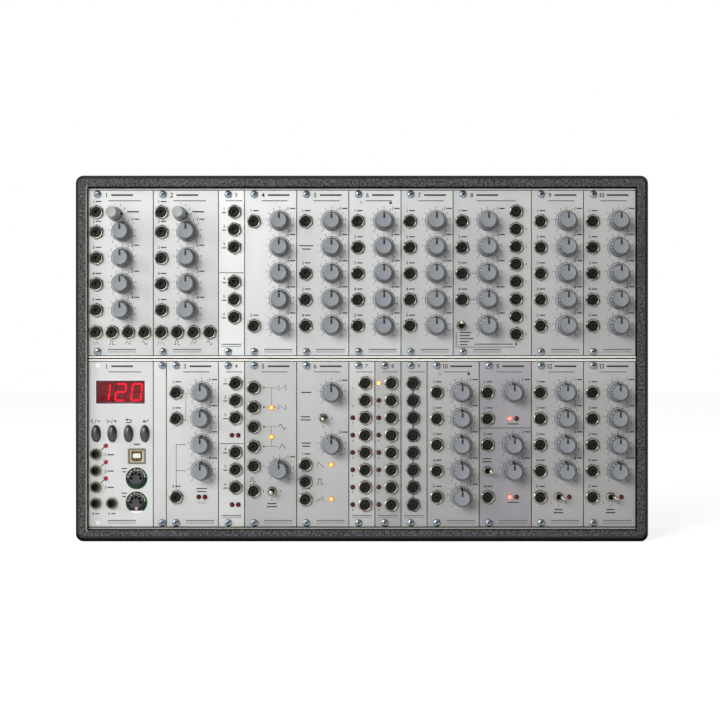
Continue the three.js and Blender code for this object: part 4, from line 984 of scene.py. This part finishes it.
def add_ribbon(form, x, middle):
    """The flat cable, in an easy double bend from the board to its plug at the bus board."""
    plug_back = box_mm("upper_bus_board")[0][1] + PLUG_SEAT
    start = FRONT - BOARD_FRONT + 1.4
    end = plug_back - 7.6

    def loop(share):
        z = middle + RIBBON_DROP * (1 - share * share * (3 - 2 * share))
        corners = ((-1, -1), (1, -1), (1, 1), (-1, 1))
        return [(x + right * RIBBON_WIDTH / 2, z + up * RIBBON_THICKNESS / 2) for right, up in corners]

    shares = [step / RIBBON_STEPS for step in range(RIBBON_STEPS, -1, -1)]
    form.add(*stack(loop, [(share, -start - (end - start) * share) for share in shares], "ribbon"))
    form.stamp(block(14.5, 6, 0, 8, "part_black", 0.3, 0.5), x, middle, plug_back)


def panel_slot(module):
    if module in WHITE:
        return "panel_white"
    if module in WARM:
        return "panel_warm"
    return "panel_lilac" if module == "slew_limiter" else "panel_grey"


def build_module(module, plan):
    plan = {**PLAIN, **plan}
    node = f"{module}_module"
    low, high = box_mm(node)
    left = low[0] - PANEL_GAP / 2
    top = high[2]
    width = plan["units"] * UNIT
    screw_x = min(SCREW_ACROSS, width - SCREW_RADIUS - PANEL_GAP)
    screws = [(screw_x, SCREW_DOWN), (screw_x, PANEL_HEIGHT - SCREW_DOWN)]
    holes = [circle(*in_panel(place), *hole) for kind, hole in HOLES.items() for place in plan[kind]]
    holes += [circle(x, down, 1.7, 24) for x, down in screws]
    if module == "interface":
        holes += interface_holes()
    sheet = panel_form(module, left, top, width, holes)
    new_piece(f"{module}_panel", sheet, node=node, slot=panel_slot(module), sharp=25)

    hardware = Form(left, top)
    for place in plan["jacks"]:
        hardware.put(JACK, *in_panel(place), turn=dice.uniform(-0.28, 0.28) + math.pi / 6)
    for place in plan["round_jacks"]:
        socket = ROUND_JACK if module == "interface" else DARK_JACK
        hardware.put(socket, *in_panel(place), turn=dice.uniform(0, 3))
    for place in plan["lamps"]:
        hardware.put(LAMPS[place[2]], *in_panel(place))
    for place in plan["toggles"]:
        hardware.put(BUSH, *in_panel(place), turn=dice.uniform(0, 1))
    if module != "interface":
        for x, down in screws:
            hardware.put(SCREW, x, down, turn=dice.uniform(0, math.pi / 2))
    if hardware.size:
        new_piece(f"{module}_hardware", hardware)

    fixed = Form(left, top)
    for index, place in enumerate(plan["knobs"]):
        if index == plan["turning"]:
            build_control(f"{module}_knob", "body", KNOB, left, top, place, "knob")
        else:
            fixed.put(KNOB, *in_panel(place))
    if fixed.size:
        new_piece(f"{module}_fixed_knobs", fixed, slot="knob")
    for place in plan["range_knobs"]:
        build_control(f"{module}_range_knob", "body", RANGE_KNOB, left, top, place, "range_knob")
    for place in plan["toggles"]:
        lever = tilted_lever(plan["toggle_rest"])
        build_control(f"{module}_toggle", "lever", lever, left, top, place, "lever")
    if plan["jacks"] or plan["round_jacks"]:
        new_piece(f"{module}_works", works_form(module, left, top, width, plan))
    if module == "interface":
        build_interface(left, top)
    if module != "blank":
        new_piece(f"{module}_print", print_module(module, plan, left, top, width))


def build_control(name, part, shape, left, top, place, slot, sharp=32):
    """A control that moves: one piece on the body of its own name."""
    form = Form(left, top)
    form.put(shape, *in_panel(place))
    new_piece(f"{name}_{part}", form, body=name, node=name, slot=slot, sharp=sharp)


def tilted_lever(rest):
    """A lever at rest, to the right, straight out or up, tilted round its pivot behind the front."""
    points, faces, marks = LEVER
    if rest == "right":
        points = turned(points, LEVER_THROW, 0, 1)
    elif rest == "up":
        points = turned(points, LEVER_THROW, 2, 1)
    return points - (0, 0.6, 0), faces, marks


# The interface module: display, buttons and data sockets

BUTTON_COLUMNS = [1.22, 3.7, 6.2, 8.7]
BUTTON_DOWN = 0.4366
DISPLAY_PLACE = in_panel((4.96, 0.1848))
DATA_PLACE = in_panel((7.46, 0.5739))
ROUND_PLACES = [in_panel((7.44, down)) for down in (0.7082, 0.8535)]
DIGIT_WIDTH = 7.4
DIGIT_HEIGHT = 12.8
DIGIT_PITCH = 12.5
DIGIT_LINE = 1.25
DIGIT_GAP = 0.12
DIGIT_LEAN = 0.11
DIGIT_PARTS = {"1": "bc", "2": "abged", "0": "abcdef"}
BARS_ACROSS = {"a": 0.5, "g": 0, "d": -0.5}
BARS_UPRIGHT = {"b": (0.5, 0.25), "c": (0.5, -0.25), "f": (-0.5, 0.25), "e": (-0.5, -0.25)}
SPARKS = {168: 7.0, 146: 6.6, 128: 7.0, 104: 7.0, 84: 6.6, 64: 7.0, 47: 6.6, 31: 6.6, 14: 6.6}
data_outline = round_box_outline(13.8, 12.1, 0.8, 3)
slot_outline = oval_outline(7.5, 13.5)
display_outline = round_box_outline(38, 18.1, 0.3, 2)


def interface_holes():
    cuts = [(slot_outline, in_panel((across, BUTTON_DOWN))) for across in BUTTON_COLUMNS]
    cuts += [(data_outline, DATA_PLACE), (display_outline, DISPLAY_PLACE)]
    holes = [[(x + right, down - up) for right, up in outline(0)] for outline, (x, down) in cuts]
    return holes + [circle(x, down, 8.5, 56) for x, down in ROUND_PLACES]


def digit_bars():
    """The seven bars of a digit: a letter and its six corners."""
    bars = {}
    for letter, up in BARS_ACROSS.items():
        bars[letter] = (0, up * DIGIT_HEIGHT, DIGIT_WIDTH, False)
    for letter, (right, up) in BARS_UPRIGHT.items():
        bars[letter] = (right * DIGIT_WIDTH, up * DIGIT_HEIGHT, DIGIT_HEIGHT / 2, True)
    half = DIGIT_LINE / 2
    for letter, (right, up, length, upright) in bars.items():
        end = length / 2 - DIGIT_GAP
        tip = end - half
        path = [(-end, 0), (-tip, -half), (tip, -half), (end, 0), (tip, half), (-tip, half)]
        if upright:
            path = [(-z, x) for x, z in path]
        yield letter, [(right + x, up + z) for x, z in path]


def add_display(form, x, z):
    """A dark red window with three seven-part digits that lean a little."""
    window_steps = [(0, -3.0), (0, -0.75), (0.25, -0.6), (0.7, -0.6), (0.9, -0.7)]
    window_marks = ["display_edge"] * 3 + ["display"]
    form.stamp(stack(round_box_outline(37.6, 17.7, 0.4, 2), window_steps, window_marks), x, z)
    frame_steps = [(-0.55, 0.02), (-0.5, 0.07), (0.0, 0.07), (0.05, -0.6)]
    form.stamp(stack(round_box_outline(38.0, 18.1, 0.5, 2), frame_steps, "bare_edge", False, False), x, z)
    for index, sign in enumerate("120"):
        middle = x - 12.4 + index * DIGIT_PITCH
        for letter, path in digit_bars():
            points = [(middle + right + up * DIGIT_LEAN, FRONT + 0.66, z + up) for right, up in path]
            form.add(points, [list(range(6))], "digit_lit" if letter in DIGIT_PARTS[sign] else "display")


def data_insert_outline(level):
    """The insert's edge at level 0, and at level 1 its opening, whose lower corners are cut off."""
    if level == 0:
        return [(-3.0, -4.7), (3.0, -4.7), (5.6, -4.7), (5.6, 4.7), (-5.6, 4.7), (-5.6, -4.7)]
    return [(-2.7, -4.0), (2.7, -4.0), (4.2, -2.3), (4.2, 3.9), (-4.2, 3.9), (-4.2, -2.3)]


def add_data_socket(form, x, z):
    shell_steps = [(0, -12.5), (0, 0.3), (0.2, 0.5), (1.0, 0.5), (1.15, 0.35), (1.2, -1.0)]
    form.stamp(stack(round_box_outline(13.4, 11.7, 0.7, 3), shell_steps, "shell", front=False), x, z)
    insert_steps = [(0, -0.5), (1, -0.5), (1, -4.4)]
    form.stamp(stack(data_insert_outline, insert_steps, ["data_insert", "shell_inside"], back=False), x, z)
    form.stamp(block(6.0, 3.6, -4.5, -1.0, "tongue"), x - 0.2, z + 0.3)
    contact = block(1.3, 0.9, -4.4, -2.2, "gold", 0.1, 0.1)
    for right in (-1.5, 1.5):
        for up in (-2.6, 3.1):
            form.stamp(contact, x + right, z + up)


def add_round_socket(form, x, z, flat):
    """A round five-hole socket set off from its hole's middle, over a green board that shows beside it."""
    form.stamp(block(17.0, 17.0, -12.8, -6.5, "board_lit", 0.2, 8.4), x, z)
    rim = [(8.45, -6.5), (8.45, -2.2), (8.3, -2.1), (6.9, -2.1), (6.9, -6.5)]
    form.stamp(lathe(rim, 56, "board_lit"), x, z)
    middle_x = x - 0.85
    middle_z = z + 0.75
    body = [(7.3, -6.5), (7.3, -0.9), (7.15, -0.75), (6.6, -0.75), (6.4, -0.95), (6.3, -5.0), (5.9, -5.0),
            (5.85, -1.4), (5.7, -1.2), (0, -1.1)]
    marks = ["part_black"] * 5 + ["hollow", "part_black"] + ["socket_face"] * 2
    form.stamp(lathe(body, 56, marks), middle_x, middle_z)
    # Each pin hole is a flat disc; its near-black is painted shade standing for the hole's depth.
    pin_profile = [(1.5, -1.1), (1.45, -1.04), (1.34, -1.02), (0, -1.04)]
    pin = lathe(pin_profile, 16, ["mark_grey", "hollow", "hollow"])
    for step in range(5):
        angle = math.radians(180 - 45 * step)
        form.stamp(pin, middle_x + 3.8 * math.cos(angle), middle_z + 3.8 * math.sin(angle) - 0.6)
    spark = block(0.85, 1.45, -4.0, -0.6, "mark_grey", 0.05, 0.2)
    for degrees, reach in SPARKS.items():
        angle = math.radians(degrees)
        form.stamp(spark, x + reach * math.cos(angle), z + reach * math.sin(angle), turn=angle)
    key = block(2.0, 1.9, -6.0, -0.7, "data_insert" if flat else "rocker", 0.1, 0.2)
    form.stamp(key, x - 0.3, z - 4.8)
    if flat:
        form.stamp(block(15.6, 4.4, -2.0, -0.25, "bare_edge", 0.1, 0.2), x, z - 8.8)


def build_interface(left, top):
    form = Form(left, top)
    add_display(form, left + DISPLAY_PLACE[0], top - DISPLAY_PLACE[1])
    add_data_socket(form, left + DATA_PLACE[0], top - DATA_PLACE[1])
    for (x, down), flat in zip(ROUND_PLACES, (False, True)):
        add_round_socket(form, left + x, top - down, flat)
    for down in (SCREW_DOWN, PANEL_HEIGHT - SCREW_DOWN):
        form.put(block(3.6, 3.6, -1.9, -0.15, "bare_edge", 0.1, 1.8), SCREW_ACROSS, down)
    new_piece("interface_sockets", form)
    for index, across in enumerate(BUTTON_COLUMNS):
        build_control(f"button_{index + 1}", "cap", BUTTON, left, top, (across, BUTTON_DOWN), "button", 50)


# What is printed on each module

def print_interface(ink):
    line = 0.66
    down = 46.4
    for side, across in zip((-1, 1), BUTTON_COLUMNS):
        x = across * UNIT
        tip = x - 3.2 + side * 1.1
        ink.stroke([(tip - side * 2.2, down - 1.3), (tip, down), (tip - side * 2.2, down + 1.3)], line)
        ink.stroke([(x + 0.1, down - 1.6), (x - 0.5, down + 1.6)], 0.45)
        ink.bar(x + 2.3, down, 2.2, line)
        if side > 0:
            ink.bar(x + 2.3, down, line, 2.2)
    x = BUTTON_COLUMNS[2] * UNIT
    ink.stroke([(x - 1.4, down - 1.1), (x + 1.1, down - 1.1)], line)
    ink.arc(x + 1.1, down, 1.1, line, 90, -90, 10)
    ink.stroke([(x + 1.1, down + 1.1), (x - 1.9, down + 1.1)], line)
    ink.arrow(x - 2.6, down - 1.1)
    x = BUTTON_COLUMNS[3] * UNIT
    ink.stroke([(x - 0.4, down + 0.2), (x + 1.2, down + 0.1)], line)
    ink.arc(x + 1.2, down - 1.3, 1.4, line, -90, 10, 8)
    ink.arrow(x - 2.0, down + 0.2)
    for index, down in enumerate((65.6, 78.3, 91.0)):
        ink.stroke([(12.4, down + 1.2), (9.4, down + 3.9)], line)
        ink.label(index + 1, 13.6, down + 7.0, 2.4, 4.0, 5.0)
    for value, x in ((5, 16.4), (4, 3.8)):
        ink.label(value, x, 118.4, 2.2, 3.3, 3.2, 0.8)
    ink.bar(38, 64.4, 5)
    for down in (84.6, 103.8):
        ink.bar(28.2, down - 1.3, 4.4, 0.8)
        ink.bar(28.2, down + 1.3, 3.0, 0.8)


def print_oscillator(ink):
    for step in range(5):
        angle = math.radians(90 - 30 * step)
        ink.number(step + 1, 21 + 8.4 * math.cos(angle), 18.3 - 8.4 * math.sin(angle), 1.5)
    ink.bar(35.0, 16.6, 9.0, 1.1)
    for index, kind in enumerate(("saw", "pulse", "triangle", "sine")):
        ink.wave(kind, (6.2, 18.7, 31.3, 43.9)[index], 118.6, 4.6, 3.0, 0.42)


def print_toggle(ink, module):
    """The numbers round a toggle. Returns its place."""
    x, down = in_panel(PLANS[module]["toggles"][0])
    for value, right, lower in ((1, -6.6, 0), (3, 6.6, 0), (2, 0, 6.4)):
        ink.number(value, x + right, down + lower, 2.0)
    return x, down


def print_low_oscillator(ink):
    ink.wave("pulse", 6.4, 92.0, 5.0, 3.0)
    for kind, down in (("rise_and_drop", 20.3), ("drop_and_rise", 35.5), ("sine", 50.8), ("peak", 66.1)):
        ink.dot(15.1, down, 0.7, 12)
        ink.bar(20.6, down, 10.0, HAIRLINE)
        ink.wave(kind, 29.4, down)
    ink.bar(20.9, 58.4, HAIRLINE, 15.3)
    ink.bar(20.9, 27.9, HAIRLINE, 15.2)
    ink.bar(13.6, 81.3, 4.0, HAIRLINE)
    x, down = print_toggle(ink, "low_oscillator_1")
    ink.lines(x, down + 10.8, (7.0, 8.0))


def print_delayed_oscillator(ink):
    for kind, down in (("falling", 80.2), ("pulse", 93.4), ("rising", 107.1)):
        ink.wave(kind, 18.5, down)
    down = print_toggle(ink, "low_oscillator_2")[1]
    ink.lines(6.9, down, (7.0, 8.0))
    ink.bar(7.4, grid(0) * PANEL_HEIGHT, 8.0)
    ink.lines(7.4, grid(2) * PANEL_HEIGHT, (7.0, 6.0))


def print_clock(ink):
    for row, down in enumerate(LADDER):
        ink.number(row + 1, 3.0, down * PANEL_HEIGHT + 4.2, 1.7)


def print_mixer(ink):
    ink.arc(9.6, 9.6, 0.95, 0.3, 0, 360, 16)
    ink.dot(32.5, 9.6, 1.1, 14)


def print_multi_filter(ink):
    for row in (2, 3):
        ink.bar(15.6, grid(row) * PANEL_HEIGHT, 5.2, 0.4)
    for index, length in enumerate((9.0, 8.0, 10.5, 7.0, 6.0)):
        ink.label(index + 1, 2.4, 110.7 + 2.35 * index, 1.9, 2.8 + length / 2, length, 0.8)
    ink.bar(31.5, 119.7, 30, 0.7)
    ink.bar(24.8, 122.0, 47, 0.45)
    ink.dot(49.0, 119.7, 0.9, 14)
    for row, down in enumerate(FILTER_ROWS):
        ink.number(row + 1, 56.8, down * PANEL_HEIGHT, 1.7)


def print_lower_multiples(ink):
    for row in (0, 1, 2, 4, 5, 6):
        ink.bar(1.85 * UNIT, (LADDER[row] + 0.0526) * PANEL_HEIGHT, 0.9, 4.2)


def print_upper_multiples(ink):
    ink.bar(10.16, 64.1, 19.12, 0.55)


def print_sample_hold(ink):
    ink.bar(10.16, 63.9, 19.12, 0.55)


def print_waveform(ink):
    ink.lines(7.4, grid(1) * PANEL_HEIGHT, (11.0, 7.0), pitch=2.6)


def print_noise(ink):
    ink.stroke([(15.4, 64.7), (7.7, 64.7), (7.7, 99.2)], 0.4)
    ink.stroke([(7.7, 85.0), (15.4, 85.0)], 0.4)
    ink.stroke([(18.0, 25.0), (15.2, 25.0), (15.2, 45.5), (18.0, 45.5)], 0.3)
    ink.stroke([(13.0, 45.5), (15.2, 45.5)], 0.3)
    ink.stroke([(25.2, 107.4), (25.2, 110.2), (30.0, 110.2), (30.0, 107.4)], HAIRLINE)
    ink.lines(27.6, 100.05, (8.4, 7.4), 0.8, 2.3)


def print_slew(ink):
    ink.bar(20.3, 51.7, 39.6, 0.55)
    for row in (1, 4):
        ink.bar(5.2 * UNIT, grid(row) * PANEL_HEIGHT + 4.2, 8.4, 0.8)
    ink.lines(6.0, 76.8, (6.0, 7.4))


def print_envelope(ink):
    x, down = in_panel(envelope["toggles"][0])
    for value, right, lower in ((1, -5.6, 4.6), (2, 0, 6.6), (3, 5.6, 4.6)):
        ink.number(value, x + right, down + lower, 1.8)
    ink.lines(x, down + 11.0, (6.0, 7.4))


EXTRA_PRINT = {
    "oscillator_1": print_oscillator, "oscillator_2": print_oscillator,
    "upper_multiples": print_upper_multiples, "waveform": print_waveform, "mixer_1": print_mixer,
    "multi_filter": print_multi_filter, "interface": print_interface, "noise": print_noise,
    "sample_hold": print_sample_hold, "low_oscillator_1": print_low_oscillator,
    "low_oscillator_2": print_delayed_oscillator, "clock_divider": print_clock,
    "clock_sequencer": print_clock, "lower_multiples": print_lower_multiples, "mixer_2": print_mixer,
    "slew_limiter": print_slew, "envelope_1": print_envelope, "envelope_2": print_envelope,
}
UNLABELLED = ("low_oscillator_1", "clock_divider", "clock_sequencer")


def print_heading(ink, order, width):
    """The module's number, and the small bars at its head and its foot."""
    foot = PANEL_HEIGHT
    if width > NARROW_PANEL:
        ink.label(order, 14.4, 3.6, 3.7, 12.1, 17, 1.3)
        small = [(width / 2 + 3, 8.0, width / 2, 0.8), (26.3, foot - 4.6, 22, 1.0),
                 (26.3, foot - 2.7, 22, 0.5)]
    else:
        ink.number(order, 13.8, 3.4, 3.0)
        small = [(12.0, 8.0, 13, 0.7), (10.2, foot - 8.6, 15.4, 0.9), (10.2, foot - 6.9, 15.4, 0.45)]
    ink.finish = "ink_grey"
    for bar in small:
        ink.bar(*bar)
    ink.finish = "ink"


def print_jack_label(ink, module, index, x, down, width):
    """A number and a bar, above a socket or, on a narrow panel, to the left of it."""
    bottom_row = down > 108 and width > 45
    if module in UNLABELLED or bottom_row or module == "multi_filter" and index > 3:
        return
    if width > NARROW_PANEL:
        ink.label(index + 1, x - 2.3, down - 8.3, 2.4, 3.8, 4.4)
    else:
        ink.number(index + 1, x - 8.0, down - 2.5, 2.2)
        ink.bar(x - 8.0, down + 0.6, 3.2, 0.8)


def print_module(module, plan, left, top, width):
    ink = Print(left, top)
    row = UPPER if module in UPPER else LOWER
    print_heading(ink, row.index(module) + 1, width)
    for index, place in enumerate(plan["jacks"]):
        print_jack_label(ink, module, index, *in_panel(place), width)
    for index, place in enumerate(plan["knobs"]):
        x, down = in_panel(place)
        ink.scale(x, down)
        ink.number(index + 1, min(x + 7.8, width - 6.8), down - 10.0, 2.6)
        ink.bar(min(x + 11.2, width - 3.2), down - 10.0, 4.2)
    if module in EXTRA_PRINT:
        EXTRA_PRINT[module](ink)
    return ink


for module, plan in PLANS.items():
    build_module(module, plan)


# The case, its rails and what is inside

CASE_WALL = 9.0
FOOT_BELOW = -100
LEFT_BEFORE = -200
# Levels of its loops, counted from the back over the front edge to the floor inside
FRONT_EDGE = range(4, 8)
INNER_START = 10
MOUTH_END = 12
BARE_END = 14
FLAT_AREA = 1000


def case_mark(level, here, after):
    """The finish of a face of the case's loops: painted shade on outer edges and a pale inner edge on the
    left.
    """
    bottom = max(here[2], after[2]) < FOOT_BELOW
    left = max(here[0], after[0]) < LEFT_BEFORE
    # The outer front edges carry painted shade, and the bottom and the left front edge a nearly black painted
    # shadow.
    if level in FRONT_EDGE:
        return "covering_foot" if bottom or left and level < FRONT_EDGE[-1] else "covering_edge"
    if level == FRONT_EDGE.stop and bottom:
        return "covering_edge"
    if left and INNER_START <= level < BARE_END:
        return "inner_edge"
    return "covering" if level < MOUTH_END else "inner_wall"


def middle_and_size(node):
    """The middle and the size of a node's box along x, and then the same along z."""
    low, high = box_mm(node)
    return [((low[axis] + high[axis]) / 2, high[axis] - low[axis]) for axis in (0, 2)]


def build_case():
    low, high = box_mm("case_tub")
    depth = high[1] - low[1]
    (x, width), (z, height) = middle_and_size("case_tub")
    outer = round_box_outline(width, height, 6.0, 6)
    inner = round_box_outline(width - CASE_WALL * 2, height - CASE_WALL * 2, 0.6, 6)
    outer_steps = [(1.6, -depth), (0.7, 0.3 - depth), (0.2, 0.9 - depth), (0.0, 1.8 - depth), (0.0, -3.4),
                   (0.25, -2.1), (0.8, -1.0), (1.7, -0.3), (2.9, 0.0), (4.4, 0.0)]
    inner_steps = [(-0.7, 0.0), (-0.3, -0.1), (-0.05, -0.35), (0.0, -0.8), (0.0, -2.6), (0.0, -20.0),
                   (0.0, 6.0 - depth)]
    steps = [((outer, inset), tall) for inset, tall in outer_steps]
    steps += [((inner, inset), tall) for inset, tall in inner_steps]
    points, faces, marks = stack(lambda loop: loop[0](loop[1]), steps, "covering")
    count = len(points) // len(steps)
    for index, face in enumerate(faces[:-2]):
        marks[index] = case_mark(index // count, points[face[0]], points[face[1]])
    marks[-1] = "inner_wall"
    shell = new_object("case_shell", points + (x, low[1], z), faces, marks, 40)
    (inlet_x, inlet_width), (inlet_z, inlet_height) = middle_and_size("mains_inlet")
    cutters = []
    for grow, reach in ((-3.7, 9.0), (0.3, 2.3)):
        outline = round_box_outline(inlet_width + grow * 2, inlet_height + grow * 2, 1.0, 3)
        points, faces, marks = stack(outline, [(0, -2.0), (0, reach)], "covering")
        cutters.append(new_object("case_cutter", points + (inlet_x, high[1], inlet_z), faces, marks))
    for cutter in cutters:
        combine(shell, cutter)
    mesh = evaluated_mesh(shell)
    shell.modifiers.clear()
    shell.data = mesh
    for polygon in mesh.polygons:
        if polygon.area > FLAT_AREA * MM * MM:
            polygon.use_smooth = False
    for cutter in cutters:
        bpy.data.objects.remove(cutter)
    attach(shell, "cabinet")
    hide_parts("case_tub")


SOCKET_PATH = [(-12, -8.25), (12, -8.25), (12, 4.25), (8, 8.25), (-8, 8.25), (-12, 4.25)]
SOCKET_FROM_SIDE = 19
ROCKER_FROM_SIDE = 16.5
SOCKET_DEPTH = 16


def build_inlet():
    """The mains inlet, made facing the front and then turned to the back."""
    back = box_mm("mains_inlet")[1][1]
    (x, width), (z, height) = middle_and_size("mains_inlet")
    socket_x = SOCKET_FROM_SIDE - width / 2
    rocker_x = width / 2 - ROCKER_FROM_SIDE
    flange = round_box_outline(width, height, 2.0)
    plate = new_object("inlet_plate", *stack(flange, [(0.0, -2.0), (0.0, -0.5), (0.4, 0.0)], "part_black"))
    box_steps = [(0.3, -30.0), (0.0, -29.7), (0.0, -1.0)]
    inlet_box = new_object("inlet_box", *stack(round_box_outline(52, 24, 1.0, 3), box_steps, "part_black"))
    socket = stack(lambda inset: SOCKET_PATH, [(0, -SOCKET_DEPTH), (0, 3.0)], "part_black")
    window = stack(round_box_outline(19, 13, 0.8, 3), [(0, -12.0), (0, 3.0)], "part_black")
    cutters = [
        new_object("inlet_cutter", *moved(socket, -socket_x, 0)),
        new_object("inlet_cutter", *moved(window, -rocker_x, 0)),
    ]
    combine(plate, inlet_box, "UNION")
    for cutter in cutters:
        combine(plate, cutter)
    points, faces = take_mesh(plate, inlet_box, *cutters)
    form = Form()
    facing_back = np.array((-1, -1, 1))
    form.add(points / MM * facing_back + (x, back, z), faces, "part_black")
    points, faces, marks = block(2, 4, 0, 10, "gold", 0.3, 0.3)
    for right, up in ((-7, -2), (0, 2), (7, -2)):
        place = (x + socket_x + right, back - SOCKET_DEPTH, z + up)
        form.add(points * facing_back + place, faces, marks)
    new_piece("mains_inlet_body", form, node="mains_inlet", slot="mains_inlet", sharp=35)
    return x + rocker_x, back, z


ROCKER_HALF = 8.6
ROCKER_HALF_HEIGHT = 6.2
ROCKER_AXIS_DEPTH = 5


def build_rocker(x, back, z):
    """The rocker: a hub with two wings in a shallow V, pressed down at one end, with its two marks."""
    rise = ROCKER_HALF * math.tan(ROCKER_THROW)
    crest = ROCKER_AXIS_DEPTH - 0.3 - rise * 2
    shares = (1.0, 0.8, 0.6, 0.4, 0.2)
    wing = [(ROCKER_HALF * share, crest + rise * share ** 1.15) for share in shares]
    profile = [(-ROCKER_HALF, 0.3), (0, -4.3), (ROCKER_HALF, 0.3)] + wing + [(0, crest)]
    profile += [(-across, out) for across, out in wing[::-1]]
    end = ROCKER_HALF_HEIGHT

    def outline(inset):
        return [(across * (1 - inset / ROCKER_HALF), out * (1 - inset / 8)) for across, out in profile]

    points, faces, marks = stack(outline, [(0.3, -end), (0, 0.3 - end), (0, end - 0.3), (0.3, end)], "rocker")
    form = Form()
    form.add(points[:, (0, 2, 1)] * (1, 1, -1), faces, marks)

    def on_wing(across, up):
        return (across, crest + rise / ROCKER_HALF * abs(across) + 0.04, up)

    line = [on_wing(across, up) for across, up in ((-5.5, -2.2), (-4.9, -2.2), (-4.9, 2.2), (-5.5, 2.2))]
    form.add(line, [[0, 3, 2, 1]], "mark_white")
    ring = [on_wing(*place) for radius in (2.1, 1.5) for place in circle(5.0, 0, radius, 24)]
    form.add(ring, band_faces(24, 0, 24), "mark_white")
    points, faces, marks = form.shape()
    final = Form()
    final.add(turned(points, ROCKER_THROW, 0, 1) + (x, back - ROCKER_AXIS_DEPTH, z), faces, marks)
    new_piece("power_rocker_body", final, "power_rocker", "power_rocker", "power_rocker", 25)


build_case()
build_rocker(*build_inlet())

for name, mark in (
    ("lower_row_bottom_rail", "rail_low"), ("lower_row_top_rail", "rail"), ("upper_row_bottom_rail", "rail"),
    ("upper_row_top_rail", "rail_top_painted_shadow"), ("lower_bus_board", "board"), ("upper_bus_board", "board"),
    ("power_supply", "supply"),
):
    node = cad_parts[name]
    node.data.materials.clear()
    node.data.materials.append(finishes[mark])
    if mark.startswith("rail"):
        ease = node.modifiers.new("ease", "BEVEL")
        ease.width = 0.2 * MM
        ease.segments = 2
        ease.limit_method = "ANGLE"


# Stage, light and camera. These are in metres.

FLOOR_REACH = 6.0
FLOOR_TONES = ((0.84, 0.84, 0.84, 1), (0.86, 0.86, 0.86, 1))
FLOOR_GLOW = 0.76
AIM = (0, 0, 0.14)
AMBIENT = 0.21
ROOM_DIRECTION = (-0.55, 0.45, 0.7)
LIGHTS = {"key": ((-0.92, -2.18, 0.98), 1.0, 29.8), "side": ((-2.1, -1.0, 0.9), 1.4, 21.2)}
CAMERA_DISTANCE = 1.3
VIEW_WIDTH = 0.561
SENSOR_WIDTH = 36


def stage_floor():
    mesh = bpy.data.meshes.new("floor")
    corners = ((-1, -1), (1, -1), (1, 1), (-1, 1))
    mesh.from_pydata([(x * FLOOR_REACH, y * FLOOR_REACH, 0) for x, y in corners], [], [[0, 1, 2, 3]])
    floor = add_object("floor", mesh)
    material, tree, shader = new_material("floor_paper")
    shade = blend_colours(tree, noise_node(tree, 2, seed=90), NOISE_BAND, *FLOOR_TONES)
    set_inputs(tree, shader, {"Base Color": shade, "Roughness": 0.9, "Specular IOR Level": 0.1})
    path = tree.nodes.new("ShaderNodeLightPath").outputs
    seen = math_node(tree, "MAXIMUM", path["Is Camera Ray"], path["Is Glossy Ray"])
    glow = add_node(tree, "Emission", {"Strength": math_node(tree, "MULTIPLY", seen, FLOOR_GLOW)})
    both = add_node(tree, "AddShader", {0: shader.outputs["BSDF"], 1: glow})
    tree.links.new(both, tree.nodes["Material Output"].inputs["Surface"])
    mesh.materials.append(material)


def light_scene():
    """White to the camera, a room that is lighter on one side to mirrors, and an even glow to all else."""
    world = bpy.data.worlds.new("studio")
    bpy.context.scene.world = world
    world.use_nodes = True
    tree = world.node_tree
    tree.nodes.clear()
    path = tree.nodes.new("ShaderNodeLightPath").outputs
    way = add_node(tree, "TexCoord", output="Generated")
    toward = add_node(tree, "VectorMath", {0: way, 1: ROOM_DIRECTION}, "Value", operation="DOT_PRODUCT")
    slope = map_range(tree, toward, -0.7, 0.6, 0.06, 1.0)
    white, even, room = (
        add_node(tree, "Background", {"Color": (tone, tone, tone, 1), "Strength": strength})
        for tone, strength in ((1.0, 1.0), (1.0, AMBIENT), (0.8, slope))
    )
    mirrored = math_node(tree, "MAXIMUM", path["Is Glossy Ray"], path["Is Transmission Ray"])
    around = add_node(tree, "MixShader", {0: mirrored, 1: even, 2: room})
    whole = add_node(tree, "MixShader", {0: path["Is Camera Ray"], 1: around, 2: white})
    tree.links.new(whole, tree.nodes.new("ShaderNodeOutputWorld").inputs["Surface"])

    aim = add_object("aim", None)
    aim.location = AIM
    for name, (place, width, energy) in LIGHTS.items():
        lamp = bpy.data.lights.new(name, "AREA")
        lamp.shape = "DISK"
        lamp.size = width
        lamp.energy = energy
        holder = add_object(name, lamp)
        holder.location = place
        track = holder.constraints.new("TRACK_TO")
        track.target = aim
        track.track_axis = "TRACK_NEGATIVE_Z"
        track.up_axis = "UP_Y"


def place_camera():
    camera = bpy.data.cameras.new("camera")
    camera.sensor_width = SENSOR_WIDTH
    camera.lens = SENSOR_WIDTH * CAMERA_DISTANCE / VIEW_WIDTH
    camera.clip_end = 20
    holder = add_object("camera", camera)
    holder.location = (-0.0015, FRONT * MM - CAMERA_DISTANCE, 0.1412)
    holder.rotation_euler = (math.pi / 2, 0, 0)
    bpy.context.scene.camera = holder


stage_floor()
light_scene()
place_camera()
bpy.context.scene.view_settings.view_transform = "Standard"
